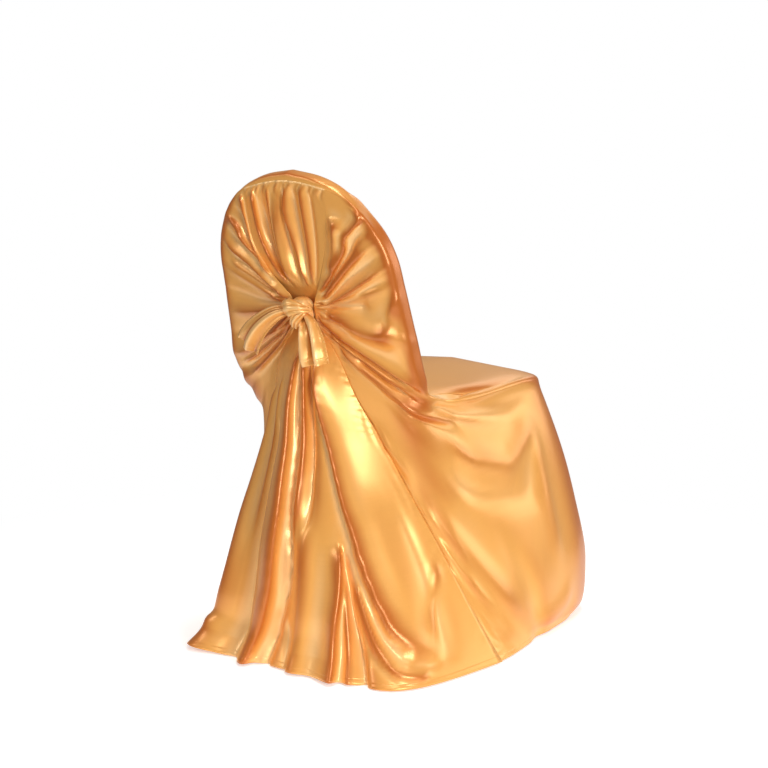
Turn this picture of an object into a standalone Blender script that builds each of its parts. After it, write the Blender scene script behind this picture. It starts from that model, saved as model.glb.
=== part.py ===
import bpy
import numpy as np

# A satin chair cover with its tie: main cloth, back panel, knot and two tails.
# Sizes in metres. Heights below are above the floor, and DATUM, under the crown, becomes the origin.
DATUM = np.array([0.0, -0.130, 0.884])
SHEET = 0.0015

# The raked chair back that the hood is drawn over.
RAKE = 0.28
REAR_AT_SEAT = -0.031
SEAT_LEVEL = 0.46
HOOD_HALF = 0.194
ARCH_LEVEL = 0.698
ARCH_RISE = 0.181
HOOD_DEPTH = 0.036
RIM_ROUND = 0.012
KNOT_AT = np.array([0.006, -0.113, 0.634])


def rear_plane(z):
    return REAR_AT_SEAT - RAKE * (z - SEAT_LEVEL)


def hermite(x, y, at):
    """Smooth curve through the rows of y at x, with no overshoot, read at the values of at."""
    x = np.asarray(x, float)
    y = np.asarray(y, float)
    at = np.asarray(at, float)
    flat = y.reshape(len(x), -1)
    step = np.diff(x)[:, None]
    rise = np.diff(flat, axis=0) / step
    slope = np.zeros_like(flat)
    slope[0] = rise[0]
    slope[-1] = rise[-1]
    if len(x) > 2:
        before, after = rise[:-1], rise[1:]
        wide = step[:-1] + step[1:]
        blend = (before * step[1:] + after * step[:-1]) / wide
        limit = 3 * np.minimum(np.abs(before), np.abs(after))
        inner = np.sign(blend) * np.minimum(np.abs(blend), limit)
        slope[1:-1] = np.where(before * after > 0, inner, 0.0)
    k = np.clip(np.searchsorted(x, at, side="right") - 1, 0, len(x) - 2)
    t = ((at - x[k]) / (x[k + 1] - x[k]))[:, None]
    h = step[k]
    out = (2 * t**3 - 3 * t**2 + 1) * flat[k] + (t**3 - 2 * t**2 + t) * h * slope[k]
    out = out + (3 * t**2 - 2 * t**3) * flat[k + 1] + (t**3 - t**2) * h * slope[k + 1]
    return out.reshape((len(at),) + y.shape[1:])


def run_of(points):
    """Length along a polyline up to each of its points."""
    return np.concatenate([[0.0], np.cumsum(np.linalg.norm(np.diff(points, axis=0), axis=1))])


def rounded(stations, radii, steps=24):
    """The polyline through the stations with each inner corner rounded, and each station's place in it."""
    points = [stations[0]]
    marks = [0]
    for k in range(1, len(stations) - 1):
        here = stations[k]
        back = stations[k - 1] - here
        ahead = stations[k + 1] - here
        room = 0.49 * min(np.linalg.norm(back), np.linalg.norm(ahead))
        reach = min(radii[k - 1], room)
        start = here + back * reach / max(np.linalg.norm(back), 1e-9)
        end = here + ahead * reach / max(np.linalg.norm(ahead), 1e-9)
        for t in np.linspace(0.0, 1.0, steps + 1):
            points.append((1 - t) ** 2 * start + 2 * t * (1 - t) * here + t**2 * end)
        marks.append(len(points) - 1 - steps // 2)
    points.append(stations[-1])
    marks.append(len(points) - 1)
    return np.array(points), marks


def along(stations, radii, shares, columns):
    """Points at the given columns (0 to 1) of a rounded polyline whose stations sit at the given shares."""
    points, marks = rounded(stations, radii)
    run = run_of(points)
    place = hermite(shares, run[marks][:, None], columns)[:, 0]
    return np.stack([np.interp(place, run, points[:, k]) for k in range(3)], axis=1)


# Seam between the main cloth and the back panel: distance from the middle, height, and how far it
# stands behind the raked plane. The knot is between rows 3 and 6.
SEAM_RIGHT = (
    # row, across, height, behind
    (0.0, 0.082, 0.856, 0.004),
    (1.0, 0.071, 0.785, 0.006),
    (2.0, 0.050, 0.712, 0.010),
    (3.0, 0.031, 0.660, 0.020),
    (4.0, 0.0285, 0.643, 0.026),
    (5.0, 0.0285, 0.626, 0.026),
    (6.0, 0.034, 0.606, 0.024),
    (7.0, 0.064, 0.545, 0.026),
    (8.0, 0.090, 0.476, 0.028),
    (9.0, 0.130, 0.400, 0.028),
    (10.0, 0.172, 0.310, 0.031),
    (11.0, 0.214, 0.225, 0.033),
    (12.0, 0.268, 0.110, 0.037),
    (13.0, 0.322, 0.003, 0.038),
)
SEAM_LEFT = (
    # row, across, height, behind
    (0.0, 0.097, 0.851, 0.004),
    (1.0, 0.098, 0.790, 0.006),
    (2.0, 0.082, 0.722, 0.010),
    (2.5, 0.058, 0.692, 0.014),
    (3.0, 0.024, 0.664, 0.020),
    (4.0, 0.0165, 0.643, 0.026),
    (5.0, 0.0165, 0.626, 0.026),
    (6.0, 0.022, 0.606, 0.024),
    (7.0, 0.066, 0.545, 0.026),
    (8.0, 0.092, 0.476, 0.028),
    (9.0, 0.118, 0.400, 0.028),
    (10.0, 0.156, 0.310, 0.031),
    (11.0, 0.198, 0.225, 0.033),
    (12.0, 0.250, 0.110, 0.037),
    (13.0, 0.300, 0.003, 0.038),
)


def seam(side, row):
    table = np.array(SEAM_RIGHT if side > 0 else SEAM_LEFT)
    across, height, behind = hermite(table[:, 0], table[:, 1:], np.atleast_1d(row)).T
    return np.stack([side * across, rear_plane(height) - behind, height], axis=1)


def outline(turn, into=0.0):
    """Point of the chair back's outline. turn is an angle above the arch's spring, or below it a drop."""
    over = max(turn, 0.0)
    drop = min(turn, 0.0)
    x = HOOD_HALF * np.cos(over) - 0.075 * drop * HOOD_HALF
    z = ARCH_LEVEL + ARCH_RISE * np.sin(over) + ARCH_RISE * drop
    inset = np.sin(np.pi * into) * 0.006
    return np.array([x + inset * np.cos(over), rear_plane(z) + HOOD_DEPTH * into, z + inset * np.sin(over)])


# Rows over the hood: the row of the seam that each starts from, where it crosses the rear edge and the
# front edge of the chair back (degrees round the arch), and how far over the crown its middle lies.
HOOD_ROWS = (
    # start, rear_turn, front_turn, over
    (0.10, 52.0, 90.0, 0.00),
    (0.30, 46.0, 90.0, 0.50),
    (0.70, 39.0, 90.0, 1.00),
    (1.10, 30.0, 48.0, 1.00),
    (1.70, 20.0, 29.0, 1.00),
    (2.40, 9.0, 13.0, 1.00),
    (3.20, -4.0, -3.0, 1.00),
    (3.90, -19.0, -19.0, 1.00),
    (4.60, -36.0, -37.0, 1.00),
    (5.20, -53.0, -56.0, 1.00),
)
# Rows over the seat and down the skirt: start row of the seam, rear corner, side corner, front middle.
SKIRT_ROWS = (
    # start, left_in, rear_x, rear_y, rear_z, side_x, side_y, side_z, front_x, front_y, front_z, middle_y, middle_z
    (5.70, 0.000, 0.206, -0.040, 0.500, 0.206, 0.020, 0.480, 0.150, 0.030, 0.486, 0.022, 0.488),
    (6.40, 0.006, 0.204, -0.035, 0.470, 0.214, 0.100, 0.470, 0.205, 0.190, 0.484, 0.190, 0.492),
    (7.00, 0.022, 0.200, -0.031, 0.440, 0.218, 0.180, 0.458, 0.216, 0.368, 0.474, 0.384, 0.486),
    (7.60, 0.036, 0.200, -0.026, 0.405, 0.224, 0.180, 0.428, 0.226, 0.390, 0.442, 0.408, 0.456),
    (9.00, 0.034, 0.212, -0.010, 0.330, 0.246, 0.180, 0.345, 0.252, 0.410, 0.350, 0.436, 0.360),
    (10.40, 0.016, 0.224, 0.020, 0.245, 0.276, 0.190, 0.235, 0.276, 0.432, 0.235, 0.462, 0.240),
    (11.70, 0.006, 0.272, 0.055, 0.125, 0.304, 0.200, 0.120, 0.294, 0.450, 0.110, 0.480, 0.110),
    (12.50, 0.000, 0.305, 0.085, 0.048, 0.312, 0.200, 0.040, 0.292, 0.446, 0.030, 0.476, 0.030),
    (13.00, 0.000, 0.320, 0.105, 0.003, 0.306, 0.200, 0.003, 0.278, 0.434, 0.003, 0.460, 0.003),
)
ROW_COUNT = 1 + len(HOOD_ROWS) + len(SKIRT_ROWS)


def heading(side):
    """Half of the heading's seam, from its corner to the middle. The first columns fan out at the corner."""
    corner = seam(side, 0.0)[0]
    peak = 0.868
    stations = [corner]
    for share in (0.03, 0.35, 0.68, 1.0):
        z = corner[2] + (peak - corner[2]) * np.sin(share * np.pi / 2)
        stations.append(np.array([corner[0] * (1 - share), rear_plane(z) - 0.004, z]))
    return stations


def section(side, row, columns):
    """The row-th section of the main cloth, from the seam (column 0) to the front middle (column 1)."""
    if row == 0:
        return along(heading(side), (0.001, 0.02, 0.02), (0, 0.44, 0.63, 0.82, 1.0), columns)
    flip = np.array([side, 1.0, 1.0])
    if row <= len(HOOD_ROWS):
        start, rear, front, over = HOOD_ROWS[row - 1]
        rear = np.radians(rear)
        front = np.radians(front)
        edge = outline(rear)
        if front > 1.5:
            turns = rear + (front - rear) * np.array([0.3, 0.62, 1.0])
            rest = [outline(turns[0], over * 0.6), outline(turns[1], over), outline(turns[2], over)]
            radii = (0.008, 0.03, 0.05)
            shares = (0, 0.44, 0.56, 0.76, 1.0)
        else:
            far = outline(front, 1.0)
            rise = 0.020 * max(np.sin(2 * max(front, 0.0)), 0.0)
            half = np.array([far[0] * 0.5, rear_plane(far[2] + rise) + HOOD_DEPTH, far[2] + rise])
            middle = np.array([0.0, rear_plane(far[2] + 1.2 * rise) + HOOD_DEPTH, far[2] + 1.2 * rise])
            rest = [far, half, middle]
            radii = (RIM_ROUND, RIM_ROUND, 0.06)
            shares = (0, 0.44, 0.53, 0.76, 1.0)
    else:
        values = SKIRT_ROWS[row - len(HOOD_ROWS) - 1]
        start = values[0]
        edge = np.array(values[2:5])
        if side < 0:
            edge[0] -= values[1]
        rest = [np.array(values[5:8]), np.array(values[8:11]), np.array([0.0, values[11], values[12]])]
        into = (row - len(HOOD_ROWS)) / len(SKIRT_ROWS)
        radii = (0.02 + 0.06 * into, 0.03 + 0.2 * into, 0.04 + 0.06 * into)
        first = 0.44 - 0.34 * into
        shares = (0, first, first + 0.09 + 0.16 * into, 0.76 - 0.02 * into, 1.0)
    stations = [seam(side, start)[0], edge * flip] + [p * flip for p in rest]
    return along(stations, radii, shares, columns)


def main_surface(side, columns, rows):
    """Points of the main cloth's smooth form, indexed by row and then by column."""
    net = np.array([section(side, k, columns) for k in range(ROW_COUNT)])
    return hermite(np.arange(ROW_COUNT), net, rows)


# Rows of the back panel below its heading: how far its edge leaves the seam for the knot, how far the
# middle of the row stands behind its edges, and the powers that round its left and right halves. The
# higher a power, the squarer the corner.
PANEL_ROWS = (
    # row, to_knot, stands, left_power, right_power
    (0.0, 0.0, 0.000, 2.0, 2.0),
    (2.2, 0.0, -0.003, 2.0, 2.0),
    (2.7, 0.0, 0.000, 2.0, 2.0),
    (3.3, 0.7, 0.000, 2.0, 2.0),
    (3.8, 1.0, 0.000, 2.0, 2.0),
    (5.2, 1.0, 0.000, 2.0, 2.0),
    (5.7, 0.7, 0.000, 2.0, 2.0),
    (6.3, 0.0, 0.006, 2.0, 2.0),
    (7.0, 0.0, 0.022, 2.1, 2.1),
    (8.0, 0.0, 0.050, 2.2, 2.2),
    (9.0, 0.0, 0.085, 2.4, 2.4),
    (10.0, 0.0, 0.128, 2.5, 2.7),
    (11.0, 0.0, 0.166, 2.7, 3.2),
    (12.0, 0.0, 0.206, 3.4, 5.0),
    (12.6, 0.0, 0.230, 4.6, 7.5),
    (13.0, 0.0, 0.262, 6.5, 11.0),
)


def panel_row(row, columns):
    """One row of the back panel, from the left seam (column -1) to the right seam (column 1)."""
    table = np.array(PANEL_ROWS)
    to_knot, stands, left_power, right_power = hermite(table[:, 0], table[:, 1:], [row])[0]
    ends = []
    for side in (-1, 1):
        edge = seam(side, row)[0]
        slim = np.array([KNOT_AT[0] + side * 0.014, rear_plane(edge[2]) - 0.004, edge[2]])
        ends.append(edge + (slim - edge) * to_knot)
    turn = np.linspace(-1.0, 1.0, 241) * np.pi / 2
    across = turn * 2 / np.pi
    points = ends[0] + (ends[1] - ends[0]) * (across[:, None] + 1) / 2
    run = run_of(points - np.outer((1.0 - np.abs(across) ** 2.6) * stands, [0.0, 1.0, 0.0]))
    points[:, 1] -= (1.0 - np.abs(across) ** np.where(across > 0, right_power, left_power)) * stands
    arch = max(0.0, 1.0 - row / 0.9)
    points[:, 2] += 0.0145 * arch * np.cos(turn)
    points[:, 1] -= RAKE * 0.0145 * arch * np.cos(turn)
    round_place = run[-1] * (np.asarray(columns) + 1) / 2
    inset = 0.0024
    true_run = run_of(points)
    place = inset + (1 - 2 * inset / true_run[-1]) * np.interp(round_place, run, true_run)
    return np.stack([np.interp(place, true_run, points[:, k]) for k in range(3)], axis=1)


def panel_surface(columns, rows):
    return np.array([panel_row(row, columns) for row in rows])


# Folds of the main cloth, each side on its own. A path is points of (across, row): across is 0 at the
# seam and 1 at the front middle. Widths and heights are at the path's start and end, a negative height
# is a valley, and lean makes one flank steep.
FOLDS_RIGHT = (
    # path, start_width, end_width, start_height, end_height, lean
    (((0.10, 4.6), (0.17, 3.6), (0.22, 2.4), (0.26, 1.0)), 0.008, 0.017, 0.006, 0.013, 0.0),
    (((0.05, 5.6), (0.13, 4.6), (0.25, 3.6), (0.31, 2.2)), 0.003, 0.006, -0.006, -0.009, 0.0),
    (((0.02, 6.6), (0.04, 6.1), (0.14, 4.9), (0.33, 4.0), (0.43, 2.6)), 0.005, 0.008, 0.012, 0.014, -0.45),
    (((0.03, 6.8), (0.10, 5.8), (0.24, 4.9), (0.40, 4.1), (0.46, 3.4)), 0.004, 0.008, -0.008, -0.009, 0.0),
    (((0.03, 7.0), (0.09, 6.3), (0.24, 5.3), (0.46, 4.6)), 0.004, 0.007, 0.010, 0.009, -0.35),
    (((0.04, 7.3), (0.16, 6.2), (0.30, 5.7), (0.46, 5.3)), 0.003, 0.007, -0.006, -0.007, 0.0),
    (((0.04, 7.4), (0.20, 6.6), (0.33, 6.1), (0.46, 5.8)), 0.004, 0.007, 0.011, 0.009, -0.45),
    (((0.05, 7.7), (0.21, 7.0), (0.34, 6.5), (0.45, 6.3)), 0.003, 0.007, -0.008, -0.008, 0.0),
    (((0.03, 7.6), (0.12, 7.15), (0.26, 7.0), (0.44, 6.8)), 0.003, 0.008, 0.007, 0.008, -0.2),
    (((0.03, 8.0), (0.14, 7.8), (0.30, 7.6)), 0.005, 0.014, -0.009, -0.012, 0.0),
    (((0.05, 8.5), (0.14, 8.7), (0.23, 9.0), (0.32, 8.9), (0.42, 8.4)), 0.010, 0.030, 0.012, 0.020, 0.0),
    (((0.46, 6.9), (0.42, 7.6), (0.38, 8.3), (0.37, 9.0)), 0.008, 0.014, 0.006, 0.005, 0.2),
    (((0.02, 9.0), (0.07, 9.6), (0.15, 10.1), (0.25, 10.3), (0.36, 10.5), (0.48, 10.8)), 0.004, 0.008, 0.010, 0.012, -0.45),
    (((0.05, 10.1), (0.10, 10.5), (0.17, 10.9), (0.27, 10.95), (0.40, 11.1)), 0.003, 0.006, -0.007, -0.008, 0.0),
    (((0.05, 10.8), (0.14, 11.2), (0.24, 11.3), (0.38, 11.5)), 0.004, 0.007, 0.010, 0.011, -0.40),
    (((0.16, 11.6), (0.27, 11.7), (0.40, 11.95)), 0.004, 0.007, -0.010, -0.010, 0.0),
    (((0.06, 11.6), (0.14, 12.0), (0.28, 12.25), (0.36, 12.9), (0.37, 14.0)), 0.006, 0.014, 0.012, 0.010, -0.3),
    (((0.44, 11.5), (0.60, 11.8), (0.70, 12.25), (0.77, 12.9)), 0.010, 0.008, -0.011, -0.006, 0.0),
    (((0.42, 12.3), (0.54, 12.5), (0.68, 12.8), (0.78, 13.3)), 0.010, 0.012, 0.008, 0.006, -0.2),
    (((0.38, 12.9), (0.40, 13.7), (0.51, 14.1), (0.64, 13.9)), 0.010, 0.014, -0.012, -0.006, 0.0),
    (((0.33, 14.0), (0.38, 14.9), (0.44, 15.1), (0.50, 14.9), (0.62, 14.3)), 0.014, 0.016, 0.012, 0.006, -0.2),
    (((0.30, 14.7), (0.37, 15.6), (0.46, 15.7), (0.58, 15.1)), 0.012, 0.018, -0.008, -0.004, 0.0),
    (((0.62, 14.2), (0.57, 15.6), (0.55, 17.0)), 0.016, 0.022, 0.006, 0.009, 0.0),
    (((0.02, 16.0), (0.12, 16.05), (0.21, 16.1)), 0.005, 0.005, 0.006, 0.005, -0.3),
    (((0.21, 16.1), (0.20, 16.6), (0.14, 17.1)), 0.005, 0.008, 0.005, 0.003, 0.2),
    (((0.06, 16.4), (0.15, 16.8), (0.21, 17.5)), 0.008, 0.010, 0.007, 0.004, 0.0),
    (((0.16, 15.2), (0.24, 16.6), (0.29, 17.8)), 0.020, 0.022, 0.006, 0.010, 0.0),
    (((0.34, 16.0), (0.38, 17.2), (0.40, 18.6)), 0.022, 0.026, -0.006, -0.008, 0.0),
    (((0.66, 17.2), (0.55, 17.8), (0.43, 18.05), (0.30, 18.1)), 0.014, 0.016, 0.008, 0.008, 0.0),
    (((0.76, 14.0), (0.76, 16.0), (0.75, 18.6)), 0.018, 0.026, 0.008, 0.014, 0.0),
    (((0.88, 13.8), (0.89, 16.0), (0.88, 18.6)), 0.020, 0.028, -0.006, -0.014, 0.0),
)
FOLDS_LEFT = (
    # path, start_width, end_width, start_height, end_height, lean
    (((0.02, 5.6), (0.05, 4.4), (0.21, 2.6), (0.38, 1.1)), 0.004, 0.009, 0.008, 0.007, -0.3),
    (((0.03, 5.8), (0.12, 4.5), (0.28, 3.5), (0.42, 2.4)), 0.004, 0.009, -0.009, -0.008, 0.0),
    (((0.01, 6.2), (0.05, 5.5), (0.24, 4.6), (0.40, 3.8), (0.45, 3.2)), 0.007, 0.010, 0.018, 0.009, -0.40),
    (((0.03, 6.5), (0.12, 5.4), (0.28, 5.0), (0.43, 4.3)), 0.004, 0.008, -0.009, -0.010, 0.0),
    (((0.02, 7.2), (0.06, 6.6), (0.13, 5.9), (0.33, 5.4), (0.45, 4.8)), 0.005, 0.008, 0.012, 0.008, 0.40),
    (((0.03, 7.4), (0.10, 6.6), (0.24, 6.1), (0.37, 5.8)), 0.003, 0.006, -0.007, -0.008, 0.0),
    (((0.08, 6.9), (0.22, 6.4), (0.37, 6.1)), 0.004, 0.008, 0.006, 0.006, 0.2),
    (((0.03, 7.7), (0.18, 7.0), (0.34, 6.6), (0.47, 6.4)), 0.004, 0.008, 0.008, 0.008, 0.3),
    (((0.03, 8.0), (0.10, 8.0), (0.30, 7.7), (0.47, 7.5)), 0.004, 0.010, -0.005, -0.005, 0.0),
    (((0.02, 8.2), (0.10, 8.4), (0.22, 8.5), (0.44, 8.4)), 0.005, 0.014, 0.009, 0.010, 0.0),
    (((0.04, 8.8), (0.20, 9.2), (0.44, 9.3)), 0.004, 0.009, -0.006, -0.006, 0.0),
    (((0.03, 9.2), (0.14, 9.9), (0.30, 10.1), (0.46, 10.0)), 0.005, 0.012, 0.010, 0.012, 0.3),
    (((0.03, 9.9), (0.10, 10.7), (0.24, 10.9), (0.40, 10.8)), 0.004, 0.009, 0.011, 0.013, 0.40),
    (((0.04, 10.5), (0.12, 11.3), (0.26, 11.4), (0.38, 11.3)), 0.004, 0.007, -0.009, -0.010, 0.0),
    (((0.03, 11.0), (0.07, 11.8), (0.23, 11.95), (0.37, 12.0)), 0.006, 0.012, 0.012, 0.014, 0.35),
    (((0.46, 11.7), (0.60, 11.9), (0.70, 12.3), (0.76, 12.9)), 0.012, 0.010, -0.008, -0.004, 0.0),
    (((0.34, 13.9), (0.44, 14.5), (0.58, 14.3), (0.68, 13.6)), 0.016, 0.016, 0.012, 0.005, 0.0),
    (((0.18, 15.0), (0.26, 16.6), (0.30, 18.4)), 0.018, 0.022, 0.008, 0.014, 0.0),
    (((0.42, 15.2), (0.44, 16.8), (0.45, 18.6)), 0.020, 0.024, 0.006, 0.014, 0.0),
    (((0.62, 14.4), (0.60, 16.4), (0.60, 18.6)), 0.018, 0.024, -0.006, -0.012, 0.0),
    (((0.78, 14.0), (0.78, 16.0), (0.77, 18.6)), 0.018, 0.026, 0.008, 0.014, 0.0),
)
# Folds of the back panel. Here across is -1 at the left seam and 1 at the right seam.
FOLDS_PANEL = (
    # path, start_width, end_width, start_height, end_height, lean
    (((-0.80, 0.0), (-0.79, 1.2), (-0.72, 2.6)), 0.007, 0.005, 0.009, 0.006, 0.3),
    (((-0.66, 0.1), (-0.66, 1.2), (-0.60, 2.6)), 0.006, 0.004, -0.008, -0.006, 0.0),
    (((-0.52, 0.0), (-0.55, 1.1), (-0.56, 2.0), (-0.46, 2.9)), 0.007, 0.005, 0.009, 0.007, 0.3),
    (((-0.38, 0.1), (-0.42, 1.1), (-0.45, 2.0), (-0.36, 2.8)), 0.008, 0.005, -0.011, -0.008, 0.0),
    (((-0.20, 0.0), (-0.24, 1.0), (-0.26, 2.0), (-0.18, 2.8)), 0.014, 0.008, 0.011, 0.008, -0.2),
    (((-0.03, 0.1), (-0.03, 0.9), (0.06, 1.8), (0.20, 2.7)), 0.006, 0.004, -0.009, -0.007, 0.0),
    (((0.06, 0.0), (0.06, 0.6), (0.17, 1.2), (0.36, 1.9), (0.50, 2.7)), 0.006, 0.005, 0.010, 0.009, -0.35),
    (((0.20, 0.1), (0.26, 0.9), (0.42, 1.7), (0.60, 2.6)), 0.007, 0.005, -0.009, -0.006, 0.0),
    (((0.44, 0.0), (0.50, 0.9), (0.64, 1.8), (0.74, 2.6)), 0.010, 0.006, 0.009, 0.006, 0.0),
    (((0.60, 0.1), (0.65, 0.9), (0.76, 1.8), (0.82, 2.6)), 0.005, 0.004, -0.007, -0.005, 0.0),
    (((-0.15, 6.5), (-0.17, 8.0), (-0.13, 9.4), (-0.10, 10.6), (-0.10, 11.6), (-0.15, 12.6), (-0.17, 13.0)),
     0.010, 0.028, 0.014, 0.032, 0.45),
    (((-0.02, 7.0), (0.03, 8.0), (0.00, 9.2), (0.01, 10.6), (0.03, 11.4), (-0.04, 12.4), (-0.06, 13.0)),
     0.003, 0.008, -0.008, -0.022, 0.0),
    (((0.05, 6.8), (0.10, 8.0), (0.09, 9.2), (0.06, 10.4), (0.05, 11.2)), 0.006, 0.010, 0.012, 0.010, 0.2),
    (((0.15, 6.8), (0.19, 8.0), (0.18, 9.0), (0.16, 10.0), (0.12, 11.0)), 0.005, 0.010, -0.014, -0.016, 0.0),
    (((0.15, 10.4), (0.14, 11.8), (0.10, 13.0)), 0.014, 0.024, 0.008, 0.022, 0.0),
    (((0.03, 12.2), (0.04, 12.6), (0.05, 13.0)), 0.006, 0.008, -0.006, -0.010, 0.0),
    (((0.36, 6.9), (0.40, 8.4), (0.44, 9.5), (0.49, 10.5), (0.54, 11.4), (0.58, 12.1), (0.61, 12.6), (0.64, 13.0)),
     0.010, 0.024, 0.012, 0.030, -0.45),
    (((0.38, 10.9), (0.35, 11.6), (0.30, 12.4), (0.28, 13.0)), 0.010, 0.022, 0.012, 0.034, 0.45),
    (((0.40, 11.0), (0.44, 11.8), (0.47, 12.4), (0.50, 13.0)), 0.005, 0.014, -0.012, -0.036, 0.0),
    (((0.41, 11.4), (0.44, 12.0), (0.46, 12.6), (0.47, 13.0)), 0.004, 0.007, 0.008, 0.014, -0.3),
    (((0.58, 9.6), (0.64, 10.8), (0.72, 12.0), (0.74, 12.5)), 0.030, 0.044, 0.004, 0.014, 0.0),
    (((0.84, 10.0), (0.86, 11.4), (0.88, 12.6)), 0.012, 0.018, -0.004, -0.006, 0.0),
    (((0.56, 12.40), (0.62, 12.74), (0.72, 12.88), (0.82, 12.90)), 0.007, 0.009, 0.014, 0.012, -0.3),
    (((0.62, 12.36), (0.69, 12.62), (0.79, 12.76), (0.88, 12.78)), 0.005, 0.007, -0.008, -0.008, 0.0),
    (((0.66, 12.22), (0.73, 12.50), (0.84, 12.62), (0.94, 12.64)), 0.007, 0.010, 0.012, 0.010, -0.3),
    (((-0.74, 7.6), (-0.58, 10.4), (-0.44, 11.6), (-0.42, 12.5)), 0.010, 0.030, 0.007, 0.026, 0.0),
    (((-0.42, 12.2), (-0.43, 12.6), (-0.44, 13.0)), 0.020, 0.036, 0.008, 0.048, 0.0),
    (((-0.50, 7.4), (-0.38, 9.2), (-0.32, 10.6), (-0.30, 11.4)), 0.007, 0.010, 0.006, 0.006, 0.0),
    (((-0.36, 8.4), (-0.28, 10.9), (-0.25, 12.0), (-0.25, 13.0)), 0.006, 0.016, -0.008, -0.026, 0.0),
    (((-0.82, 9.0), (-0.76, 11.6), (-0.72, 13.0)), 0.012, 0.024, -0.005, -0.014, 0.0),
)


def unit(vectors):
    return vectors / np.maximum(np.linalg.norm(vectors, axis=-1, keepdims=True), 1e-12)


def grid_normals(points, flip):
    """Unit normals of a grid of points, which face out of the cover."""
    return unit(np.cross(np.gradient(points, axis=1), np.gradient(points, axis=0))) * flip


def ease(t):
    t = np.clip(t, 0.0, 1.0)
    return t * t * (3 - 2 * t)


def held(points, sides):
    """How free each point of a grid is: 0 on its seams, 1 from a fold's width away."""
    free = np.ones(points.shape[:2])
    for column in sides:
        away = np.linalg.norm(points - points[:, column][:, None], axis=2)
        free = free * ease(away / 0.009)
    away = np.linalg.norm(points - points[:1], axis=2)
    return free * ease(away / 0.012)


def folded(points, normals, columns, rows, folds, sides, clear):
    """The points moved along their normals by every fold of the table, with the seams left as they are.
    Above the row named clear a valley stays shallow, because the chair's back is right behind it."""
    moved = np.zeros(points.shape[:2])
    for path, start_width, end_width, start_height, end_height, lean in folds:
        path = np.array(path)
        leg = run_of(path * [3.0, 1.0])
        t = np.linspace(0.0, 1.0, 60)
        trail = hermite(leg / leg[-1], path, t)
        i = np.interp(trail[:, 0], columns, np.arange(len(columns)))
        j = np.interp(trail[:, 1], rows, np.arange(len(rows)))
        line = sampled(points, j, i)
        ahead = unit(np.gradient(line, axis=0))
        beside = np.cross(ahead, sampled(normals, j, i))
        gap = points[:, :, None, :] - line[None, None]
        far = np.linalg.norm(gap, axis=3)
        near = far.argmin(axis=2)
        at = t[near]
        apart = np.take_along_axis(gap, near[:, :, None, None], axis=2)[:, :, 0]
        signed = (apart * beside[near]).sum(axis=2)
        away = np.take_along_axis(far, near[:, :, None], axis=2)[:, :, 0]
        width = start_width + (end_width - start_width) * at
        width = width * np.where(signed > 0, 1 + lean, 1 - lean)
        height = start_height + (end_height - start_height) * at
        last = 1.0 if path[-1, 1] >= rows[-1] - 0.5 else ease((1 - at) / 0.25)
        first = ease(at / (0.12 if start_width < 0.012 else 0.35))
        moved += height * first * last * np.exp(-((away / width) ** 2))
    for _ in range(2):
        padded = np.pad(moved, 1, mode="edge")
        moved = (padded[:-2, 1:-1] + padded[2:, 1:-1] + padded[1:-1, :-2] + padded[1:-1, 2:]) / 8 + moved / 2
    moved = np.where(rows[:, None] < clear, np.maximum(moved, 0.75 * moved), moved)
    return points + normals * (moved * held(points, sides))[:, :, None]


def sampled(grid, j, i):
    """The grid read between its points, at rows j and columns i."""
    j0 = np.clip(j.astype(int), 0, grid.shape[0] - 2)
    i0 = np.clip(i.astype(int), 0, grid.shape[1] - 2)
    fj = (j - j0)[:, None]
    fi = (i - i0)[:, None]
    upper = grid[j0, i0] * (1 - fi) + grid[j0, i0 + 1] * fi
    lower = grid[j0 + 1, i0] * (1 - fi) + grid[j0 + 1, i0 + 1] * fi
    return upper * (1 - fj) + lower * fj


def main_cloth(columns, rows):
    """The whole main cloth as a grid of points, right seam first and left seam last."""
    halves = []
    for side, folds in ((1, FOLDS_RIGHT), (-1, FOLDS_LEFT)):
        smooth = main_surface(side, columns, rows)
        normals = grid_normals(smooth, -side)
        halves.append(settled(folded(smooth, normals, columns, rows, folds, (0,), 11.5)))
    right, left = halves
    middle = (right[:, -1:] + left[:, -1:]) / 2
    return np.concatenate([right[:, :-1], middle, left[:, -2::-1]], axis=1)


def back_panel(columns, rows):
    smooth = panel_surface(columns, rows)
    normals = grid_normals(smooth, -1.0)
    return settled(folded(smooth, normals, columns, rows, FOLDS_PANEL, (0, -1), 6.0))


def settled(points):
    """Keeps the cloth on or above the floor, with its sheet's own thickness to spare."""
    points[:, :, 2] = np.maximum(points[:, :, 2], SHEET * 0.6)
    return points


# Solids


def grid_faces(row_count, column_count, fan=0):
    """Triangles of a grid. The first and last fan columns of its first row are drawn into its corners."""
    index = np.arange(row_count * column_count).reshape(row_count, column_count)
    if fan:
        index[0, :fan] = index[0, 0]
        index[0, -fan:] = index[0, -1]
    a, b = index[:-1, :-1].ravel(), index[:-1, 1:].ravel()
    c, d = index[1:, 1:].ravel(), index[1:, :-1].ravel()
    faces = np.concatenate([np.stack([a, b, c], axis=1), np.stack([a, c, d], axis=1)])
    return faces[(faces[:, 0] != faces[:, 1]) & (faces[:, 1] != faces[:, 2]) & (faces[:, 2] != faces[:, 0])]


def tidy(points, faces):
    """The sheet without the points that no triangle uses."""
    used, numbers = np.unique(faces, return_inverse=True)
    return points[used], numbers.reshape(faces.shape)


def edges_of_border(faces):
    """The directed edges that only one face has."""
    edges = np.concatenate([faces[:, [0, 1]], faces[:, [1, 2]], faces[:, [2, 0]]])
    keys = {tuple(edge) for edge in edges.tolist()}
    return np.array([edge for edge in edges.tolist() if (edge[1], edge[0]) not in keys])


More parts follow.
